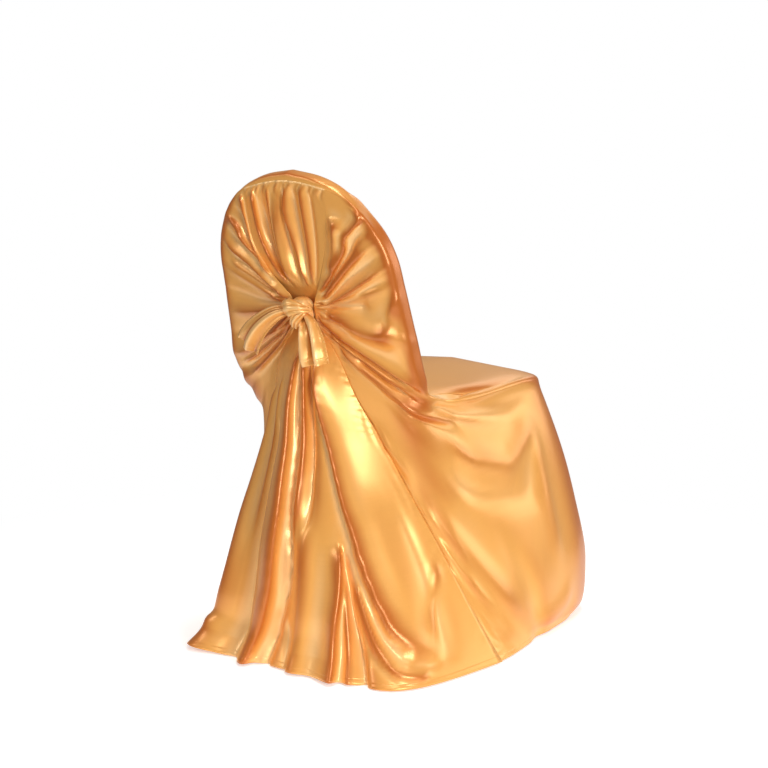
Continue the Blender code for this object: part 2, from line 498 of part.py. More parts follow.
def thinned(points, faces, target):
    """The same sheet with fewer triangles, most of them where it is folded. Its border stays as it is."""
    mesh = bpy.data.meshes.new("sheet")
    mesh.from_pydata(points.tolist(), [], faces.tolist())
    holder = bpy.data.objects.new("sheet", mesh)
    bpy.context.scene.collection.objects.link(holder)
    border = set(edges_of_border(faces).ravel().tolist())
    group = holder.vertex_groups.new(name="inner")
    group.add([k for k in range(len(points)) if k not in border], 1.0, "REPLACE")
    fewer = holder.modifiers.new("fewer", "DECIMATE")
    fewer.vertex_group = "inner"
    fewer.ratio = target / len(faces)
    fewer.use_collapse_triangulate = True
    result = holder.evaluated_get(bpy.context.evaluated_depsgraph_get()).to_mesh()
    result.calc_loop_triangles()
    new_points = np.array([v.co[:] for v in result.vertices])
    new_faces = np.array([t.vertices[:] for t in result.loop_triangles])
    bpy.data.objects.remove(holder)
    return new_points, new_faces


def shell(points, faces, thick):
    """A closed solid: the sheet's two faces, thick apart, with its border walled."""
    corners = points[faces]
    face_normals = np.cross(corners[:, 1] - corners[:, 0], corners[:, 2] - corners[:, 0])
    normals = np.zeros_like(points)
    for k in range(3):
        np.add.at(normals, faces[:, k], face_normals)
    normals = unit(normals)
    count = len(points)
    outer = points + normals * thick / 2
    inner = points - normals * thick / 2
    border = edges_of_border(faces)
    a, b = border[:, 0], border[:, 1]
    walls = np.concatenate([np.stack([b, a, a + count], axis=1), np.stack([b, a + count, b + count], axis=1)])
    return np.concatenate([outer, inner]), np.concatenate([faces, faces[:, ::-1] + count, walls])


def tube_faces(rings, around):
    """Faces of rings of points with a pole at each end."""
    faces = []
    for k in range(rings - 1):
        for m in range(around):
            n = (m + 1) % around
            a, b = 1 + k * around + m, 1 + k * around + n
            faces.append((a, b, b + around))
            faces.append((a, b + around, a + around))
    last = 1 + rings * around
    for m in range(around):
        n = (m + 1) % around
        faces.append((0, 1 + n, 1 + m))
        faces.append((last, last - around + m, last - around + n))
    return np.array(faces)[:, ::-1]


KNOT_SIZE = (0.0225, 0.0215, 0.0265)


def knot(rings, around):
    """The knot: a rounded lump with slanting wraps."""
    points = [KNOT_AT + [0, 0, KNOT_SIZE[2]]]
    for k in range(rings):
        polar = np.pi * (k + 1) / (rings + 1)
        for m in range(around):
            turn = 2 * np.pi * m / around
            wrap = np.abs(np.cos(2 * turn + 1.9 * np.cos(polar) + 0.6)) - 0.6
            full = 0.97 + 0.16 * wrap * np.sin(polar)
            side = np.sin(polar) ** 0.7 * full
            points.append(KNOT_AT + np.array(KNOT_SIZE) * [side * np.sin(turn), -side * np.cos(turn), np.cos(polar)])
    points.append(KNOT_AT - [0, 0, KNOT_SIZE[2]])
    return np.array(points), tube_faces(rings, around)


# The two tails: points of the middle line, the width there, the turn of the band about its line in
# degrees, and how deep it is cupped.
TAIL_LEFT = (
    # along, x, y, z, width, turn, cup
    (0.0, -0.0175, -0.116, 0.631, 0.016, 25.0, 0.004),
    (0.2, -0.0400, -0.126, 0.628, 0.024, 15.0, 0.007),
    (0.5, -0.0760, -0.127, 0.606, 0.032, 8.0, 0.008),
    (0.8, -0.1080, -0.120, 0.579, 0.038, 0.0, 0.007),
    (1.0, -0.1270, -0.113, 0.564, 0.036, -8.0, 0.003),
)
TAIL_RIGHT = (
    # along, x, y, z, width, turn, cup
    (0.0, 0.0155, -0.129, 0.617, 0.018, 0.0, 0.003),
    (0.2, 0.026, -0.133, 0.597, 0.032, 0.0, 0.008),
    (0.5, 0.043, -0.138, 0.577, 0.050, 4.0, 0.013),
    (0.8, 0.053, -0.140, 0.559, 0.060, 6.0, 0.014),
    (1.0, 0.057, -0.139, 0.546, 0.060, 6.0, 0.012),
)


def tail(table, columns, rows):
    """A tail of the tie: a cupped band whose ripples fade from the knot to its hem."""
    table = np.array(table)
    line = hermite(table[:, 0], table[:, 1:4], rows)
    width, turn, cup = hermite(table[:, 0], table[:, 4:], rows).T
    ahead = unit(np.gradient(line, axis=0))
    out = unit(np.array([0.0, -1.0, 0.0]) - ahead * (ahead @ np.array([0.0, -1.0, 0.0]))[:, None])
    beside = np.cross(out, ahead)
    turn = np.radians(turn)[:, None]
    flat = beside * np.cos(turn) + out * np.sin(turn)
    lift = out * np.cos(turn) - beside * np.sin(turn)
    u = np.asarray(columns)[None, :, None]
    t = np.asarray(rows)[:, None, None]
    ripple = 0.0028 * np.cos(4.4 * np.pi * u + 1.0 + 1.5 * t) * ease(t / 0.4) * (1.15 - t)
    rise = (1 - u**2) * cup[:, None, None] + ripple
    return line[:, None] + flat[:, None] * u * width[:, None, None] / 2 + lift[:, None] * rise


def satin(name):
    material = bpy.data.materials.new(name)
    material.use_nodes = True
    shader = material.node_tree.nodes["Principled BSDF"]
    shader.inputs["Base Color"].default_value = (0.83, 0.40, 0.11, 1.0)
    shader.inputs["Roughness"].default_value = 0.34
    shader.inputs["Sheen Weight"].default_value = 0.3
    material.diffuse_color = (0.83, 0.40, 0.11, 1.0)
    return material


def node(name, points, faces, smooth=True):
    mesh = bpy.data.meshes.new(name)
    placed = np.array(points) - DATUM
    mesh.from_pydata(placed.tolist(), [], np.array(faces).tolist())
    mesh.validate()
    mesh.shade_smooth() if smooth else None
    mesh.materials.append(satin(name + " satin"))
    item = bpy.data.objects.new(name, mesh)
    bpy.context.scene.collection.objects.link(item)
    return item


def spread(parts):
    """Values of several even runs, each run given as its start, end and count."""
    runs = [np.linspace(a, b, n, endpoint=False) for a, b, n in parts]
    return np.concatenate(runs + [[parts[-1][1]]])


WING_COLUMNS = 34
MAIN_COLUMNS = spread(((0.0, 0.46, WING_COLUMNS), (0.46, 1.0, 26)))
MAIN_ROWS = spread(((0.0, 2.0, 10), (2.0, 12.0, 84), (12.0, 19.0, 40)))
PANEL_COLUMNS = np.linspace(-1.0, 1.0, 91)
PANEL_AT = spread(((0.05, 3.0, 18), (3.0, 6.0, 8), (6.0, 13.0, 46)))


def build():
    for item in list(bpy.data.objects):
        bpy.data.objects.remove(item)
    cloth = main_cloth(MAIN_COLUMNS, MAIN_ROWS)
    faces = grid_faces(*cloth.shape[:2], fan=WING_COLUMNS)[:, ::-1]
    points, faces = thinned(*tidy(cloth.reshape(-1, 3), faces), 5200)
    node("cover", *shell(points, faces, SHEET))
    panel = back_panel(PANEL_COLUMNS, PANEL_AT)
    faces = grid_faces(*panel.shape[:2])[:, ::-1]
    points, faces = thinned(panel.reshape(-1, 3), faces, 2100)
    node("back_panel", *shell(points, faces, SHEET))
    node("knot", *knot(9, 20))
    for name, table in (("tie_left", TAIL_LEFT), ("tie_right", TAIL_RIGHT)):
        band = tail(table, np.linspace(-1, 1, 11), np.linspace(0, 1, 13))
        node(name, *shell(band.reshape(-1, 3), grid_faces(13, 11), SHEET))


build()
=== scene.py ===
import bpy
import numpy as np
from bpy.props import FloatProperty, FloatVectorProperty, PointerProperty
from bpy.types import Operator, Panel, PropertyGroup
from mathutils import Matrix


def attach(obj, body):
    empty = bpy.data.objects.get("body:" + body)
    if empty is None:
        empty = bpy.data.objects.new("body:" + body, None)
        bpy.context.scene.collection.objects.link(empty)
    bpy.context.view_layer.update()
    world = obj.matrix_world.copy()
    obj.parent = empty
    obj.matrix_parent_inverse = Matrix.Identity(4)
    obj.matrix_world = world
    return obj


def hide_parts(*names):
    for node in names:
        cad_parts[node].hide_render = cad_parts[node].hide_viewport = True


bl_info = {
    "name": "Satin Chair Cover",
    "version": (1, 0, 0),
    "blender": (4, 5, 0),
    "location": "View3D > Sidebar > Chair Cover",
    "description": "A satin cover, gathered behind and tied with a knot",
    "category": "Add Mesh",
}

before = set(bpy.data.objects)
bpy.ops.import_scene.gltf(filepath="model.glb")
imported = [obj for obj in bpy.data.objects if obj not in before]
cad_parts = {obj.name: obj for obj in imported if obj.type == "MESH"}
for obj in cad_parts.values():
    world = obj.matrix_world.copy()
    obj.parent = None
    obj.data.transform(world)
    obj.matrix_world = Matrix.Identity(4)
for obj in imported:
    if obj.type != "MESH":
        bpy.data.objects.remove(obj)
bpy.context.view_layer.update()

# Sizes in metres. The forms below are worked out above the floor, and DATUM, under the crown,
# is the frame's origin.
DATUM = np.array([0.0, -0.130, 0.884])
RAKE = 0.28
REAR_AT_SEAT = -0.031
SEAT_LEVEL = 0.46
HOOD_HALF = 0.194
HOOD_SPLAY = 0.075
HOOD_DEPTH = 0.036
ARCH_LEVEL = 0.698
ARCH_RISE = 0.181
RIM_SWELL = 0.006
RIM_ROUND = 0.012
KNOT_THICK = 0.0010
# Reach of the painted highlight, a pale scalloped line, along the heading's seam.
HEADING_HIGHLIGHT_REACH = 0.0028
HEADING_PEAK = 0.868
HEADING_ARCH = 0.0145
CLOTH_BEHIND = 0.004
KNOT_AT = np.array([0.006, -0.113, 0.634])
KNOT_SIZE = np.array([0.0225, 0.0215, 0.0265])


# Curves and grids


def rear_plane(z):
    """How far back the raked plane inside the hood stands at height z: a straight line."""
    return REAR_AT_SEAT - RAKE * (z - SEAT_LEVEL)


def unit(vectors):
    return vectors / np.maximum(np.linalg.norm(vectors, axis=-1, keepdims=True), 1e-12)


def norm(vectors):
    return np.linalg.norm(vectors, axis=-1)


def ease(t):
    """A smooth step from 0 to 1."""
    t = np.clip(t, 0.0, 1.0)
    return t * t * (3 - 2 * t)


def spread(parts):
    """Values of several even runs, each run given as its start, end and count."""
    runs = [np.linspace(a, b, n, endpoint=False) for a, b, n in parts]
    return np.concatenate(runs + [[parts[-1][1]]])


def hermite(x, y, at):
    """Smooth curve through the rows of y at x, with no overshoot, read at the values of at."""
    x, y, at = (np.asarray(values, float) for values in (x, y, at))
    flat = y.reshape(len(x), -1)
    step = np.diff(x)[:, None]
    rise = np.diff(flat, axis=0) / step
    slope = np.zeros_like(flat)
    slope[0] = rise[0]
    slope[-1] = rise[-1]
    before, after = rise[:-1], rise[1:]
    blend = (before * step[1:] + after * step[:-1]) / (step[:-1] + step[1:])
    limit = 3 * np.minimum(np.abs(before), np.abs(after))
    inner = np.sign(blend) * np.minimum(np.abs(blend), limit)
    slope[1:-1] = np.where(before * after > 0, inner, 0.0)
    k = np.clip(np.searchsorted(x, at, side="right") - 1, 0, len(x) - 2)
    t = ((at - x[k]) / (x[k + 1] - x[k]))[:, None]
    h = step[k]
    out = (2 * t**3 - 3 * t**2 + 1) * flat[k] + (t**3 - 2 * t**2 + t) * h * slope[k]
    out = out + (3 * t**2 - 2 * t**3) * flat[k + 1] + (t**3 - t**2) * h * slope[k + 1]
    return out.reshape((len(at),) + y.shape[1:])


def run_of(points):
    """Distance along a line of points, from its first."""
    return np.concatenate([[0.0], np.cumsum(norm(np.diff(points, axis=0)))])


def placed_on(line, run, place):
    """Points of a line at places along it, where run is the distance of its own points."""
    return np.stack([np.interp(place, run, line[:, k]) for k in range(3)], axis=1)


def rounded(stations, radii, steps=24):
    """The polyline through the stations with each inner corner rounded by a parabola, and each
    station's place in it."""
    points = [stations[0]]
    marks = [0]
    for k in range(1, len(stations) - 1):
        here = stations[k]
        back = stations[k - 1] - here
        ahead = stations[k + 1] - here
        room = 0.49 * min(np.linalg.norm(back), np.linalg.norm(ahead))
        reach = min(radii[k - 1], room)
        start = here + back * reach / max(np.linalg.norm(back), 1e-9)
        end = here + ahead * reach / max(np.linalg.norm(ahead), 1e-9)
        for t in np.linspace(0.0, 1.0, steps + 1):
            points.append((1 - t) ** 2 * start + 2 * t * (1 - t) * here + t**2 * end)
        marks.append(len(points) - 1 - steps // 2)
    points.append(stations[-1])
    marks.append(len(points) - 1)
    return np.array(points), marks


def along(stations, radii, shares, columns):
    """Points at the columns (0 to 1) of a rounded polyline whose stations sit at the given shares."""
    points, marks = rounded(stations, radii)
    run = run_of(points)
    place = hermite(shares, run[marks][:, None], columns)[:, 0]
    return placed_on(points, run, place)


def sampled(grid, j, i):
    """A grid read between its points, at rows j and columns i."""
    j0 = np.clip(j.astype(int), 0, grid.shape[0] - 2)
    i0 = np.clip(i.astype(int), 0, grid.shape[1] - 2)
    fj = (j - j0)[:, None]
    fi = (i - i0)[:, None]
    upper = grid[j0, i0] * (1 - fi) + grid[j0, i0 + 1] * fi
    lower = grid[j0 + 1, i0] * (1 - fi) + grid[j0 + 1, i0 + 1] * fi
    return upper * (1 - fj) + lower * fj


def grid_normals(points, flip):
    """Unit normals of a grid of points, which face out of the cover."""
    return unit(np.cross(np.gradient(points, axis=1), np.gradient(points, axis=0))) * flip


def smoothed(values, times):
    """A grid of values averaged with its neighbours."""
    for _ in range(times):
        padded = np.pad(values, 1, mode="edge")
        beside = padded[:-2, 1:-1] + padded[2:, 1:-1] + padded[1:-1, :-2] + padded[1:-1, 2:]
        values = beside / 8 + values / 2
    return values


# The smooth form of the cover, in millimetres. Seams between the main cloth and the back panel:
# distance from the middle, height, and how far each stands behind the raked plane. The knot is
# between rows 3 and 6.
SEAM_RIGHT = (
    # row, across, height, behind
    (0, 82, 856, 4),
    (1, 71, 785, 6),
    (2, 50, 712, 10),
    (3, 31, 660, 20),
    (4, 28.5, 643, 26),
    (5, 28.5, 626, 26),
    (6, 34, 606, 24),
    (7, 64, 545, 26),
    (8, 90, 476, 28),
    (9, 130, 400, 28),
    (10, 172, 310, 31),
    (11, 214, 225, 33),
    (12, 268, 110, 37),
    (13, 322, 3, 38),
)
SEAM_LEFT = (
    # row, across, height, behind
    (0, 97, 851, 4),
    (1, 98, 790, 6),
    (2, 82, 722, 10),
    (2.5, 58, 692, 14),
    (3, 24, 664, 20),
    (4, 16.5, 643, 26),
    (5, 16.5, 626, 26),
    (6, 22, 606, 24),
    (7, 66, 545, 26),
    (8, 92, 476, 28),
    (9, 118, 400, 28),
    (10, 156, 310, 31),
    (11, 198, 225, 33),
    (12, 250, 110, 37),
    (13, 300, 3, 38),
)
# Rows over the hood: the seam's row that each starts from, where it crosses the hood's rear edge and
# front edge (degrees round the arch), and how far over the crown its middle lies.
HOOD_ROWS = (
    # start, rear_turn, front_turn, over
    (0.1, 52, 90, 0),
    (0.3, 46, 90, 0.5),
    (0.7, 39, 90, 1),
    (1.1, 30, 48, 1),
    (1.7, 20, 29, 1),
    (2.4, 9, 13, 1),
    (3.2, -4, -3, 1),
    (3.9, -19, -19, 1),
    (4.6, -36, -37, 1),
    (5.2, -53, -56, 1),
)
# Rows over the seat and down the skirt: the seam's row, how far in the left rear corner is, x, y, z of
# the rear, side and front corners, and y, z of the front middle, all but the first in millimetres.
SKIRT_ROWS = (
    (5.7, 0, 206, -40, 500, 206, 20, 480, 150, 30, 486, 22, 488),
    (6.4, 6, 204, -35, 470, 214, 100, 470, 205, 190, 484, 190, 492),
    (7, 22, 200, -31, 440, 218, 180, 458, 216, 368, 474, 384, 486),
    (7.6, 36, 200, -26, 405, 224, 180, 428, 226, 390, 442, 408, 456),
    (9, 34, 212, -10, 330, 246, 180, 345, 252, 410, 350, 436, 360),
    (10.4, 16, 224, 20, 245, 276, 190, 235, 276, 432, 235, 462, 240),
    (11.7, 6, 272, 55, 125, 304, 200, 120, 294, 450, 110, 480, 110),
    (12.5, 0, 305, 85, 48, 312, 200, 40, 292, 446, 30, 476, 30),
    (13, 0, 320, 105, 3, 306, 200, 3, 278, 434, 3, 460, 3),
)
ROW_COUNT = 1 + len(HOOD_ROWS) + len(SKIRT_ROWS)
# Rows of the back panel: how far its edge leaves the seam to tuck under the wings beside the knot (0 to
# 1), how many millimetres its middle stands behind its edges, and the powers that round its left and
# right halves. A higher power makes a squarer corner.
PANEL_ROWS = (
    # row, tuck, stands, left_power, right_power
    (0, 0, 0, 2, 2),
    (1.6, 0, -3, 2, 2),
    (2.3, 0.1, 0, 2, 2),
    (3, 0.7, 0, 2, 2),
    (3.8, 1, 0, 2, 2),
    (5.2, 1, 0, 2, 2),
    (5.7, 0.7, 0, 2, 2),
    (6.3, 0, 6, 2, 2),
    (7, 0, 22, 2.1, 2.1),
    (8, 0, 50, 2.2, 2.2),
    (9, 0, 85, 2.4, 2.4),
    (10, 0, 128, 2.5, 2.7),
    (11, 0, 166, 2.7, 3.2),
    (12, 0, 206, 3.4, 5),
    (12.6, 0, 230, 3.6, 7.5),
    (13, 0, 262, 4.6, 11),
)
PANEL_UNITS = (1, 1, 1000, 1, 1)


def seam(side, row):
    """Point of a seam at a row of its table."""
    table = np.array(SEAM_RIGHT if side > 0 else SEAM_LEFT)
    across, height, behind = hermite(table[:, 0], table[:, 1:] / 1000, np.atleast_1d(row)).T
    return np.stack([side * across, rear_plane(height) - behind, height], axis=1)


def outline(turn, into=0.0):
    """Point of the hood's outline: an arch over two splayed sides. turn is an angle above the arch's
    spring, or below it a drop, and into runs from the rear edge (0) to the front edge (1)."""
    over = max(turn, 0.0)
    drop = min(turn, 0.0)
    swell = np.sin(np.pi * into) * RIM_SWELL
    x = HOOD_HALF * (np.cos(over) - HOOD_SPLAY * drop)
    z = ARCH_LEVEL + ARCH_RISE * (np.sin(over) + drop)
    y = rear_plane(z) + HOOD_DEPTH * into
    return np.array([x + swell * np.cos(over), y, z + swell * np.sin(over)])


def heading(side):
    """Half of the heading's seam, from its corner to the middle, which rises as a sine. The first
    columns fan out at the corner."""
    corner = seam(side, 0.0)[0]
    stations = [corner]
    for share in (0.03, 0.35, 0.68, 1.0):
        z = corner[2] + (HEADING_PEAK - corner[2]) * np.sin(share * np.pi / 2)
        stations.append(np.array([corner[0] * (1 - share), rear_plane(z) - CLOTH_BEHIND, z]))
    return stations


def hood_section(row):
    """Stations, corner radii and shares of one row over the hood."""
    start, rear, front, over = HOOD_ROWS[row - 1]
    rear = np.radians(rear)
    front = np.radians(front)
    edge = outline(rear)
    if front > 1.5:
        turns = rear + (front - rear) * np.array([0.3, 0.62, 1.0])
        rest = [outline(turns[0], over * 0.6), outline(turns[1], over), outline(turns[2], over)]
        return start, edge, rest, (0.008, 0.03, 0.05), (0, 0.44, 0.56, 0.76, 1.0)
    far = outline(front, 1.0)
    rise = 0.020 * max(np.sin(2 * max(front, 0.0)), 0.0)
    half = np.array([far[0] * 0.5, rear_plane(far[2] + rise) + HOOD_DEPTH, far[2] + rise])
    middle = np.array([0.0, rear_plane(far[2] + 1.2 * rise) + HOOD_DEPTH, far[2] + 1.2 * rise])
    return start, edge, [far, half, middle], (RIM_ROUND, RIM_ROUND, 0.06), (0, 0.44, 0.53, 0.76, 1.0)


def skirt_section(side, row):
    """Stations, corner radii and shares of one row over the seat or down the skirt."""
    start, left_in, *places = SKIRT_ROWS[row - len(HOOD_ROWS) - 1]
    places = np.array([*places[:9], 0, *places[9:]]).reshape(4, 3) / 1000
    edge, *rest = places
    if side < 0:
        edge[0] -= left_in / 1000
    into = (row - len(HOOD_ROWS)) / len(SKIRT_ROWS)
    radii = (0.02 + 0.06 * into, 0.03 + 0.2 * into, 0.04 + 0.06 * into)
    first = 0.44 - 0.34 * into
    return start, edge, rest, radii, (0, first, first + 0.09 + 0.16 * into, 0.76 - 0.02 * into, 1.0)


def section(side, row, columns):
    """One row of the main cloth, from the seam (column 0) to the front middle (column 1)."""
    if row == 0:
        return along(heading(side), (0.001, 0.02, 0.02), (0, 0.44, 0.63, 0.82, 1.0), columns)
    on_hood = row <= len(HOOD_ROWS)
    start, edge, rest, radii, shares = hood_section(row) if on_hood else skirt_section(side, row)
    flip = np.array([side, 1.0, 1.0])
    stations = [seam(side, start)[0], edge * flip] + [p * flip for p in rest]
    return along(stations, radii, shares, columns)


def main_form(side, columns, rows):
    """Smooth form of half of the main cloth: its sections joined by smooth curves."""
    net = np.array([section(side, k, columns) for k in range(ROW_COUNT)])
    return hermite(np.arange(ROW_COUNT), net, rows)


# How far the panel laps over the main cloth below the knot, and how far it lies on top of it there.
SEAM_LAP = (0.0030, 0.0014)
# How far a tucked edge runs on past the seam, and the power of the curve that spaces the columns.
TUCK = 0.016
SPACING_POWER = 2.6


def panel_row(row, columns):
    """One row of the back panel, from the left seam (-1) to the right seam (1): the seams' chord,
    pushed out by a power of the distance from the middle."""
    table = np.array(PANEL_ROWS) / PANEL_UNITS
    tuck, stands, left_power, right_power = hermite(table[:, 0], table[:, 1:], [row])[0]
    ends = []
    for side in (-1, 1):
        edge = seam(side, row)[0]
        tucked = np.array([edge[0] + side * TUCK, rear_plane(edge[2]) - CLOTH_BEHIND, edge[2]])
        lap = np.array([side * SEAM_LAP[0], -SEAM_LAP[1], 0.0]) * ease((row - 6.2) / 0.4)
        ends.append(edge + (tucked - edge) * tuck + lap)
    turn = np.linspace(-1.0, 1.0, 241) * np.pi / 2
    across = turn * 2 / np.pi
    points = ends[0] + (ends[1] - ends[0]) * (across[:, None] + 1) / 2
    spaced = (1.0 - np.abs(across) ** SPACING_POWER) * stands
    round_run = run_of(points - np.outer(spaced, [0.0, 1.0, 0.0]))
    points[:, 1] -= (1.0 - np.abs(across) ** np.where(across > 0, right_power, left_power)) * stands
    rise = HEADING_ARCH * max(0.0, 1.0 - row / 0.9) * np.cos(turn)
    points[:, 2] += rise
    points[:, 1] -= RAKE * rise
    place = round_run[-1] * (np.asarray(columns) + 1) / 2
    return placed_on(points, round_run, place)


def panel_form(columns, rows):
    """Smooth form of the back panel, row by row."""
    return np.array([panel_row(row, columns) for row in rows])


# Folds. Widths and heights, in millimetres, are at the path's start and end, and a negative height is
# a valley. Lean, in hundredths, makes one flank steep: below 0 it is the flank under a fold of the right
# wing, above one of the left wing, and left of one that runs down the back. A path lists across and
# row of its points by turns: across is 0 at the seam and 100 at the front middle.
FOLDS_RIGHT = (
    # widths, heights, lean, path
    (8, 18, 9, 14, 0, (6, 5.6, 11, 4.7, 18, 3.7, 21, 2.9)),
    (5, 6, 13, 8, -45, (2, 6.6, 6, 5.9, 18, 4.8, 34, 3.9, 42, 3, 41, 2.4, 36, 2.15)),
    (4, 6, -9, -8, 0, (3, 6.8, 10, 5.8, 24, 4.9, 40, 4.1, 45, 3.6)),
    (4, 9, 8, 9, 0, (4, 6.9, 14, 5.7, 28, 4.9, 41, 4.3, 45, 4)),
    (3, 5, 9, 10, -35, (5, 7, 15, 5.9, 28, 5.2, 46, 4.6)),
    (4, 9, -9, -6, 0, (5, 7.2, 17, 6.2, 30, 5.7, 46, 5.2)),
    (3, 5, 12, 12, -45, (4, 7.4, 21, 6.6, 33, 6.2, 46, 5.9)),
    (3, 4, 6, 7, 0, (5, 7.6, 21, 6.85, 34, 6.4, 45, 6.2)),
    (4, 8, -8, -7, 0, (5, 7.8, 21, 7.1, 34, 6.7, 45, 6.5)),
    (3, 10, 7, 6, 0, (3, 7.6, 12, 7.15, 26, 7, 44, 6.8)),
    (5, 14, -9, -12, 0, (3, 8, 14, 7.8, 30, 7.6)),
    (10, 30, 12, 22, 0, (5, 8.5, 14, 8.7, 23, 9, 32, 8.9, 42, 8.4)),
    (12, 8, 5, 7, 0, (22, 9, 32, 8.8, 40, 7.8, 46, 7)),
    (4, 8, 10, 12, -45, (2, 9, 7, 9.6, 15, 10.1, 25, 10.3, 36, 10.5, 48, 10.8)),
    (3, 6, -7, -8, 0, (5, 10.1, 10, 10.5, 17, 10.9, 27, 10.95, 40, 11.1)),
    (4, 7, 10, 11, -40, (5, 10.8, 14, 11.2, 24, 11.3, 38, 11.5)),
    (4, 7, -10, -10, 0, (16, 11.6, 27, 11.7, 40, 11.95)),
    (6, 14, 12, 10, -30, (6, 11.6, 14, 12, 28, 12.25, 36, 12.9, 37, 14)),
    (10, 8, -11, -6, 0, (44, 11.5, 60, 11.8, 70, 12.25, 77, 12.9)),
    (10, 12, 8, 6, -20, (42, 12.3, 54, 12.5, 68, 12.8, 78, 13.3)),
    (8, 12, -16, -10, 0, (40, 12, 39, 12.9, 41, 13.8, 51, 14.2, 64, 14)),
    (5, 9, -10, -8, 0, (28, 12.4, 33, 13, 35, 14, 39, 14.9, 45, 15.1)),
    (14, 16, 18, 9, -20, (33, 14, 38, 14.9, 44, 15.1, 50, 14.9, 62, 14.3)),
    (12, 18, -14, -7, 0, (30, 14.7, 37, 15.6, 46, 15.7, 58, 15.1)),
    (16, 22, 6, 9, 0, (62, 14.2, 57, 15.6, 55, 17)),
    (10, 14, 10, 6, 0, (3, 14.7, 8, 15, 15, 15.2, 19, 15.1)),
    (5, 5, 6, 5, -30, (2, 16, 12, 16.05, 21, 16.1)),
    (5, 6, 6, 3, 20, (21, 16.1, 27, 15.5, 30, 15)),
    (5, 8, 5, 3, 20, (21, 16.1, 20, 16.6, 14, 17.1)),
    (8, 10, 7, 4, 0, (6, 16.4, 15, 16.8, 21, 17.5)),
    (20, 22, 6, 10, 0, (16, 15.2, 24, 16.6, 29, 17.8)),
    (22, 26, -6, -8, 0, (34, 16, 38, 17.2, 40, 18.6)),
    (14, 16, 8, 8, 0, (66, 17.2, 55, 17.8, 43, 18.05, 30, 18.1)),
    (18, 26, 8, 14, 0, (76, 14, 76, 16, 75, 18.6)),
    (20, 28, -6, -14, 0, (88, 13.8, 89, 16, 88, 18.6)),
)
FOLDS_LEFT = (
    (4, 9, 8, 7, -30, (2, 5.6, 5, 4.4, 21, 2.6, 38, 1.1)),
    (4, 9, -9, -8, 0, (3, 5.8, 12, 4.5, 28, 3.5, 42, 2.4)),
    (7, 10, 18, 9, -40, (1, 6.2, 5, 5.5, 24, 4.6, 40, 3.8, 45, 3.2)),
    (4, 8, -9, -10, 0, (3, 6.5, 12, 5.4, 28, 5, 43, 4.3)),
    (5, 8, 12, 8, 40, (2, 7.2, 6, 6.6, 13, 5.9, 33, 5.4, 45, 4.8)),
    (3, 6, -7, -8, 0, (3, 7.4, 10, 6.6, 24, 6.1, 37, 5.8)),
    (4, 8, 6, 6, 20, (8, 6.9, 22, 6.4, 37, 6.1)),
    (4, 10, 8, 5, 0, (3, 7.7, 18, 7, 34, 6.6, 47, 6.4)),
    (4, 10, -5, -5, 0, (3, 8, 10, 8, 30, 7.7, 47, 7.5)),
    (5, 14, 9, 10, 0, (2, 8.2, 10, 8.4, 22, 8.5, 44, 8.4)),
    (4, 9, -6, -6, 0, (4, 8.8, 20, 9.2, 44, 9.3)),
    (5, 12, 10, 12, 30, (3, 9.2, 14, 9.9, 30, 10.1, 46, 10)),
    (4, 9, 11, 13, 40, (3, 9.9, 10, 10.7, 24, 10.9, 40, 10.8)),
    (4, 7, -9, -10, 0, (4, 10.5, 12, 11.3, 26, 11.4, 38, 11.3)),
    (6, 12, 12, 14, 35, (3, 11, 7, 11.8, 23, 11.95, 37, 12)),
    (12, 10, -8, -4, 0, (46, 11.7, 60, 11.9, 70, 12.3, 76, 12.9)),
    (16, 16, 12, 5, 0, (34, 13.9, 44, 14.5, 58, 14.3, 68, 13.6)),
    (18, 22, 8, 14, 0, (18, 15, 26, 16.6, 30, 18.4)),
    (20, 24, 6, 14, 0, (42, 15.2, 44, 16.8, 45, 18.6)),
    (18, 24, -6, -12, 0, (62, 14.4, 60, 16.4, 60, 18.6)),
    (18, 26, 8, 14, 0, (78, 14, 78, 16, 77, 18.6)),
)
